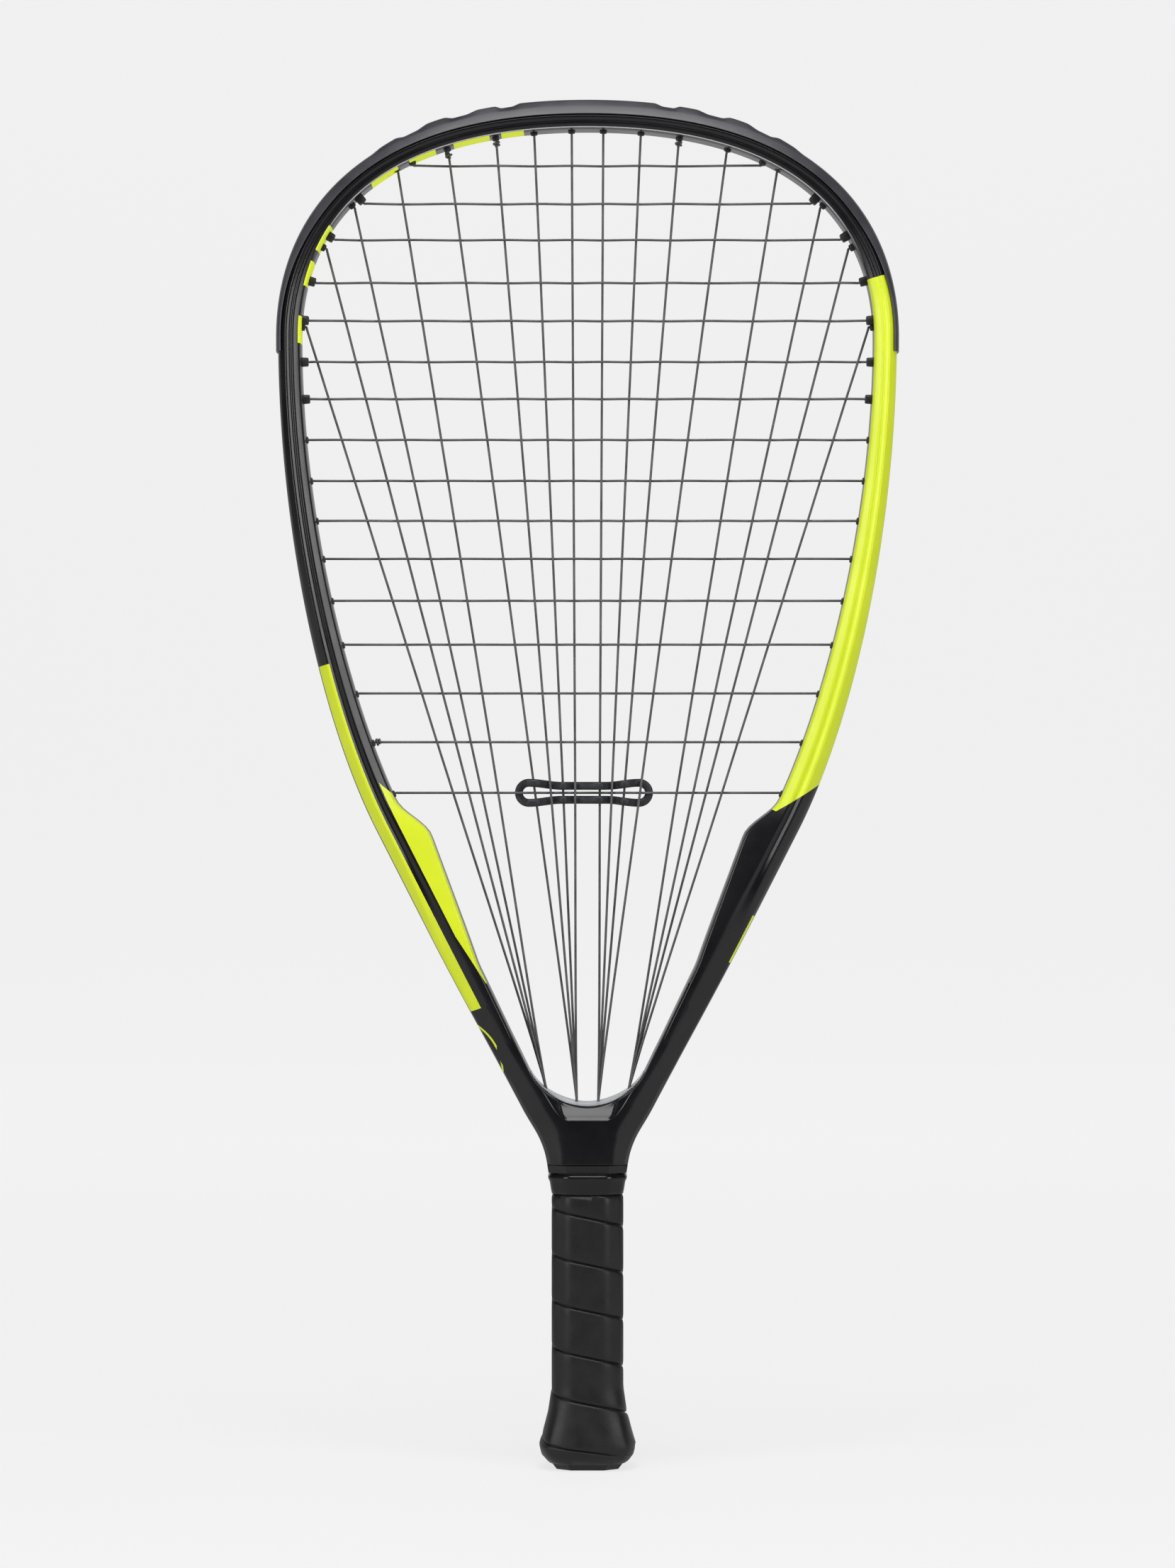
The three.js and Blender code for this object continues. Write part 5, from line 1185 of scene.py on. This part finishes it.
# Grip: one rubbery tape wound up the handle over the cap's flare. Its edges are skived, so that each
# turn meets the next in a narrow spiral seam.
grip_top = 0.1118
grip_foot = 0.0026
grip_half_width, grip_half_depth = 0.01465, 0.012
grip_corner_width, grip_corner_depth = 0.0069, 0.0054
tape_thickness, tape_pitch = 0.0018, 0.0189
seam_at_right = 0.098
cap_top = 0.033
flare_growth, flare_depth_share = 0.00515, 0.86
flare_shares = np.array([[0, 0], [0.08, 0.36], [0.18, 0.82], [0.294, 1], [0.43, 0.73], [0.7, 0.28], [1, 0]])
corner_softness, foot_softness, foot_softness_top = 0.022, 0.036, 0.07
seam_depth, seam_width, slope_depth, slope_width = 0.0011, 0.014, 0.0003, 0.06
rim_inset, rim_width = 0.0005, 0.0006
seam_fade_foot, seam_fade_top = (0.004, 0.009), (0.0004, 0.004)
tape_rows = np.array([0, 0.012, 0.03, 0.06, 0.1, 0.2, 0.35, 0.5, 0.65, 0.8, 0.9, 0.94, 0.97, 0.988, 1.0])


def grip_corners(height, inset):
    """The octagon's eight corners at each height, counter-clockwise from the front of the right side."""
    grow = flare_growth * np.interp(height / cap_top, *flare_shares.T)
    half_width = grip_half_width + grow - inset
    half_depth = grip_half_depth + grow * flare_depth_share - inset
    corner_width = grip_corner_width - inset / 2
    corner_depth = grip_corner_depth - inset / 2
    quarter = [(half_width, half_depth - corner_depth), (half_width - corner_width, half_depth)]
    corners = quarter + [(-x, y) for x, y in quarter[::-1]] + [(-x, -y) for x, y in quarter]
    corners += [(x, -y) for x, y in quarter[::-1]]
    return np.stack([np.stack(corner, axis=-1) for corner in corners], axis=-2)


side_lengths = np.linalg.norm(np.diff(np.vstack([
    [[grip_half_width, 0]], grip_corners(np.array(grip_top), 0.0), [[grip_half_width, 0]]]), axis=0), axis=1)
corner_shares = np.concatenate([[0], np.cumsum(side_lengths)]) / side_lengths.sum()


def on_grip(share, height, inset):
    """The point a share of the way round the octagon from the middle of its right side, averaged over a
    short way to each side, which rounds the corners, and more so towards the butt."""
    corners = grip_corners(height, inset)
    right = (corners[..., :1, :] + corners[..., -1:, :]) / 2
    path = np.concatenate([right, corners, right], axis=-2)
    total = 0
    softness = corner_softness + foot_softness * (1 - ease(height, 0, foot_softness_top))
    shifts = np.linspace(-1, 1, 9)
    for shift in shifts:
        at = np.mod(share + shift * softness, 1)
        side = np.clip(np.searchsorted(corner_shares, at, side="right") - 1, 0, len(corner_shares) - 2)
        part = (at - corner_shares[side]) / (corner_shares[side + 1] - corner_shares[side])
        start = np.take_along_axis(path, side[..., None, None], axis=-2)[..., 0, :]
        end = np.take_along_axis(path, side[..., None, None] + 1, axis=-2)[..., 0, :]
        total = total + start + (end - start) * part[..., None]
    return total / len(shifts)


def make_grip():
    """The tape as one spiral strip: columns run on round the handle turn after turn, rows across the
    tape. Its surface dips at both edges of the tape, and its last row meets the next turn's first."""
    around = 120
    first_turn = int(np.floor((seam_at_right - grip_top) / tape_pitch)) - 1
    turns = int(np.ceil((grip_top - grip_foot) / tape_pitch)) + 3
    column = np.arange(turns * around + 1)
    share = column[:, None] / around
    height = seam_at_right - (first_turn + share - tape_rows) * tape_pitch
    height = np.clip(height, grip_foot, grip_top)
    edge = np.minimum(tape_rows, 1 - tape_rows)
    dip = (seam_depth * np.exp(-(edge / seam_width) ** 2)
           + slope_depth * np.exp(-(edge / slope_width) ** 2))
    dip = dip * ease(height, *seam_fade_foot) * ease(grip_top - height, *seam_fade_top)
    end_gap = np.minimum(height - grip_foot, grip_top - height)
    inset = dip + rim_inset * np.exp(-(end_gap / rim_width) ** 2)
    share = share * np.ones_like(tape_rows)
    outside = np.concatenate([on_grip(share, height, inset), height[..., None]], axis=-1)
    levels = np.array([grip_top, *(flare_shares[::-1, 0] * cap_top)])
    levels = np.clip(levels, grip_foot, grip_top)[:, None]
    ring = (np.arange(around) / around)[None, :] * np.ones_like(levels)
    inner_levels = levels * np.ones_like(ring)
    inner = on_grip(ring, inner_levels, tape_thickness * np.ones_like(ring))
    inner = np.concatenate([inner, inner_levels[..., None]], axis=-1)
    flat = 0 * ring[:1]
    rims = [np.concatenate([on_grip(ring[:1], flat + end, flat + rim_inset), flat[..., None] + end], axis=-1)
            for end in (grip_top, grip_foot)]
    inner = np.concatenate([rims[0], inner, rims[1]])
    outer_index = np.arange(outside.shape[0] * len(tape_rows)).reshape(outside.shape[:2])
    inner_index = outer_index.size + np.arange(inner.shape[0] * around).reshape(inner.shape[:2])
    inner_index = np.hstack([inner_index, inner_index[:, :1]])
    grids = [outer_index, inner_index[:, ::-1]]
    quads = [np.stack([grid[:-1, :-1], grid[1:, :-1], grid[1:, 1:], grid[:-1, 1:]], -1).reshape(-1, 4)
             for grid in grids]
    return outside, inner, quads


def weld(name, parts, quads):
    """One mesh from several grids: points that fall together become one, and faces that have lost
    their area go."""
    mesh = bpy.data.meshes.new(name)
    places = np.vstack([part.reshape(-1, 3) for part in parts])
    mesh.from_pydata(places.tolist(), [], np.vstack(quads).tolist())
    work = bmesh.new()
    work.from_mesh(mesh)
    bmesh.ops.remove_doubles(work, verts=work.verts, dist=2e-6)
    bmesh.ops.dissolve_degenerate(work, edges=work.edges, dist=1e-6)
    bmesh.ops.recalc_face_normals(work, faces=work.faces)
    work.to_mesh(mesh)
    work.free()
    mesh.shade_smooth()
    piece = bpy.data.objects.new(name, mesh)
    bpy.context.scene.collection.objects.link(piece)
    return piece


def grip_rubber():
    """Black polyurethane tape: a tacky, slightly mottled skin with fine pores."""
    look = Finish("grip_tape")
    cloud = look.noise(90)
    pores = look.node("ShaderNodeTexVoronoi", "Distance", Vector=look.place(), Scale=1400.0)
    skin = look.bump(pores, 0.00006, 0.4)
    return look.finish(Base_Color=look.clouded(cloud, (20, 18, 20), (28, 26, 28)),
                       Roughness=look.span(cloud, 0.4, 0.52), Specular_IOR_Level=0.4,
                       Normal=look.bump(look.noise(500, detail=2.0), 0.0001, 0.25, skin))


outside, inner, quads = make_grip()
grip = weld("grip", [outside, inner], quads)
grip.data.materials.append(grip_rubber())
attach(grip, "root")
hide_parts("grip_wrap")

# Collar and end tape: a rubber ring with a raised lip, rolled down over the top of the grip, and the
# narrow tape under it that holds the tape's end.
collar_profile = np.array([
    [0.1121, 0.0004], [0.1124, 0.00005], [0.1141, -0.0003], [0.1155, -0.0005], [0.1167, -0.0007],
    [0.1174, -0.00085], [0.118, -0.00115], [0.1185, -0.00138], [0.119, -0.00145], [0.1196, -0.00135],
    [0.12, -0.0011], [0.1203, -0.0006], [0.1204, 0.0001]])
collar_wall = 0.0012


def make_collar():
    """The grip's octagon at one height after another, up the outside to the lip and down inside."""
    inside = [[collar_profile[-1, 0], collar_wall], [collar_profile[0, 0], collar_wall]]
    heights, insets = np.vstack([collar_profile, inside]).T[..., None]
    share = np.linspace(0, 1, 160, endpoint=False)[None, :]
    heights, insets, share = np.broadcast_arrays(heights, insets, share)
    rings = np.concatenate([on_grip(share, heights, insets), heights[..., None]], axis=-1)
    return surface("collar", rings, round_rows=True)


def collar_rubber():
    """Black moulded rubber with a smooth, shiny skin."""
    look = Finish("collar_rubber")
    cloud = look.noise(120)
    return look.finish(Base_Color=look.clouded(cloud, (14, 12, 14), (21, 19, 21)),
                       Roughness=look.span(cloud, 0.17, 0.24), Specular_IOR_Level=0.38,
                       Normal=look.bump(look.noise(900, detail=2.0), 0.00003, 0.3))


collar = make_collar()
collar.data.materials.append(collar_rubber())
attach(collar, "root")
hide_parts("grip_collar")
coat("grip_end_tape", cap_rubber)

# Studio: a pale floor that sweeps up behind the racket, soft panels of light above and at both sides,
# and a level camera straight in front of the face.
camera_distance = 1.8
camera_height = 0.2793
frame_height = 0.6414
sensor_height = 36.0
floor_front, sweep_from, sweep_radius, wall_top, backdrop_half_width = -0.9, 2.4, 1.2, 3.8, 5.2


def make_backdrop():
    """A floor, a quarter circle and a wall in one sheet. The wall stands behind the place from which
    the racket's back is looked at."""
    angle = np.linspace(0, pi / 2, 24)
    wall = sweep_from + sweep_radius
    y = np.concatenate([[floor_front], sweep_from + sweep_radius * np.sin(angle), [wall]])
    z = np.concatenate([[0], sweep_radius * (1 - np.cos(angle)), [wall_top]])
    x = np.array([-backdrop_half_width, backdrop_half_width])[:, None]
    sheet = np.stack([x + 0 * y, 0 * x + y, 0 * x + z], axis=-1)
    return surface("backdrop", sheet, round_columns=False)


def backdrop_paper():
    """Pale paper lit evenly from behind: it looks brighter than the light that it sheds on the racket,
    and a little brighter on the wall than on the floor, which evens out the lamps' fall."""
    look = Finish("backdrop_paper")
    seen = look.node("ShaderNodeLightPath", "Is Camera Ray")
    grey = look.blend(look.noise(3), paint(114, 114, 114), paint(117, 117, 117))
    back = look.node("ShaderNodeSeparateXYZ", "Y", Vector=look.place())
    shown = look.span(back, 0.735, 0.81, 0.0, 1.6)
    glow = look.node("ShaderNodeMapRange", Value=seen, To_Min=0.48, To_Max=shown)
    return look.finish(Base_Color=grey, Roughness=0.9, Emission_Color=(1, 1, 1, 1), Emission_Strength=glow)


backdrop = make_backdrop()
backdrop.data.materials.append(backdrop_paper())


def panel_light(name, place, aim, size, power):
    """A square soft box at place, turned to face aim."""
    light = bpy.data.lights.new(name, "AREA")
    light.shape = "SQUARE"
    light.size = size
    light.energy = power
    lamp = bpy.data.objects.new(name, light)
    lamp.location = place
    lamp.rotation_euler = (Vector(aim) - Vector(place)).to_track_quat("-Z", "Y").to_euler()
    bpy.context.scene.collection.objects.link(lamp)


panel_light("top_panel", (0, -0.7, 1.6), (0, 0, 0.4), 1.0, 16)
panel_light("left_panel", (-1.5, -1.3, 0.7), (0, 0, 0.3), 0.9, 13.5)
panel_light("right_panel", (1.5, -1.3, 0.7), (0, 0, 0.3), 0.9, 12.5)


def studio_world():
    """A bright room to look at, which sheds only a little light of its own on the object."""
    world = bpy.data.worlds.new("studio")
    world.use_nodes = True
    nodes, links = world.node_tree.nodes, world.node_tree.links
    strength = nodes.new("ShaderNodeMapRange")
    strength.inputs["To Min"].default_value = 0.06
    strength.inputs["To Max"].default_value = 0.88
    links.new(nodes.new("ShaderNodeLightPath").outputs["Is Camera Ray"], strength.inputs["Value"])
    links.new(strength.outputs["Result"], nodes["Background"].inputs["Strength"])
    nodes["Background"].inputs["Color"].default_value = (1, 1, 1, 1)
    return world


bpy.context.scene.world = studio_world()
bpy.context.scene.view_settings.view_transform = "Standard"

camera_data = bpy.data.cameras.new("camera")
camera_data.sensor_fit = "VERTICAL"
camera_data.sensor_height = sensor_height
camera_data.lens = sensor_height * camera_distance / frame_height
camera = bpy.data.objects.new("camera", camera_data)
camera.location = (0, -camera_distance, camera_height)
camera.rotation_euler = (pi / 2, 0, 0)
bpy.context.scene.collection.objects.link(camera)
bpy.context.scene.camera = camera
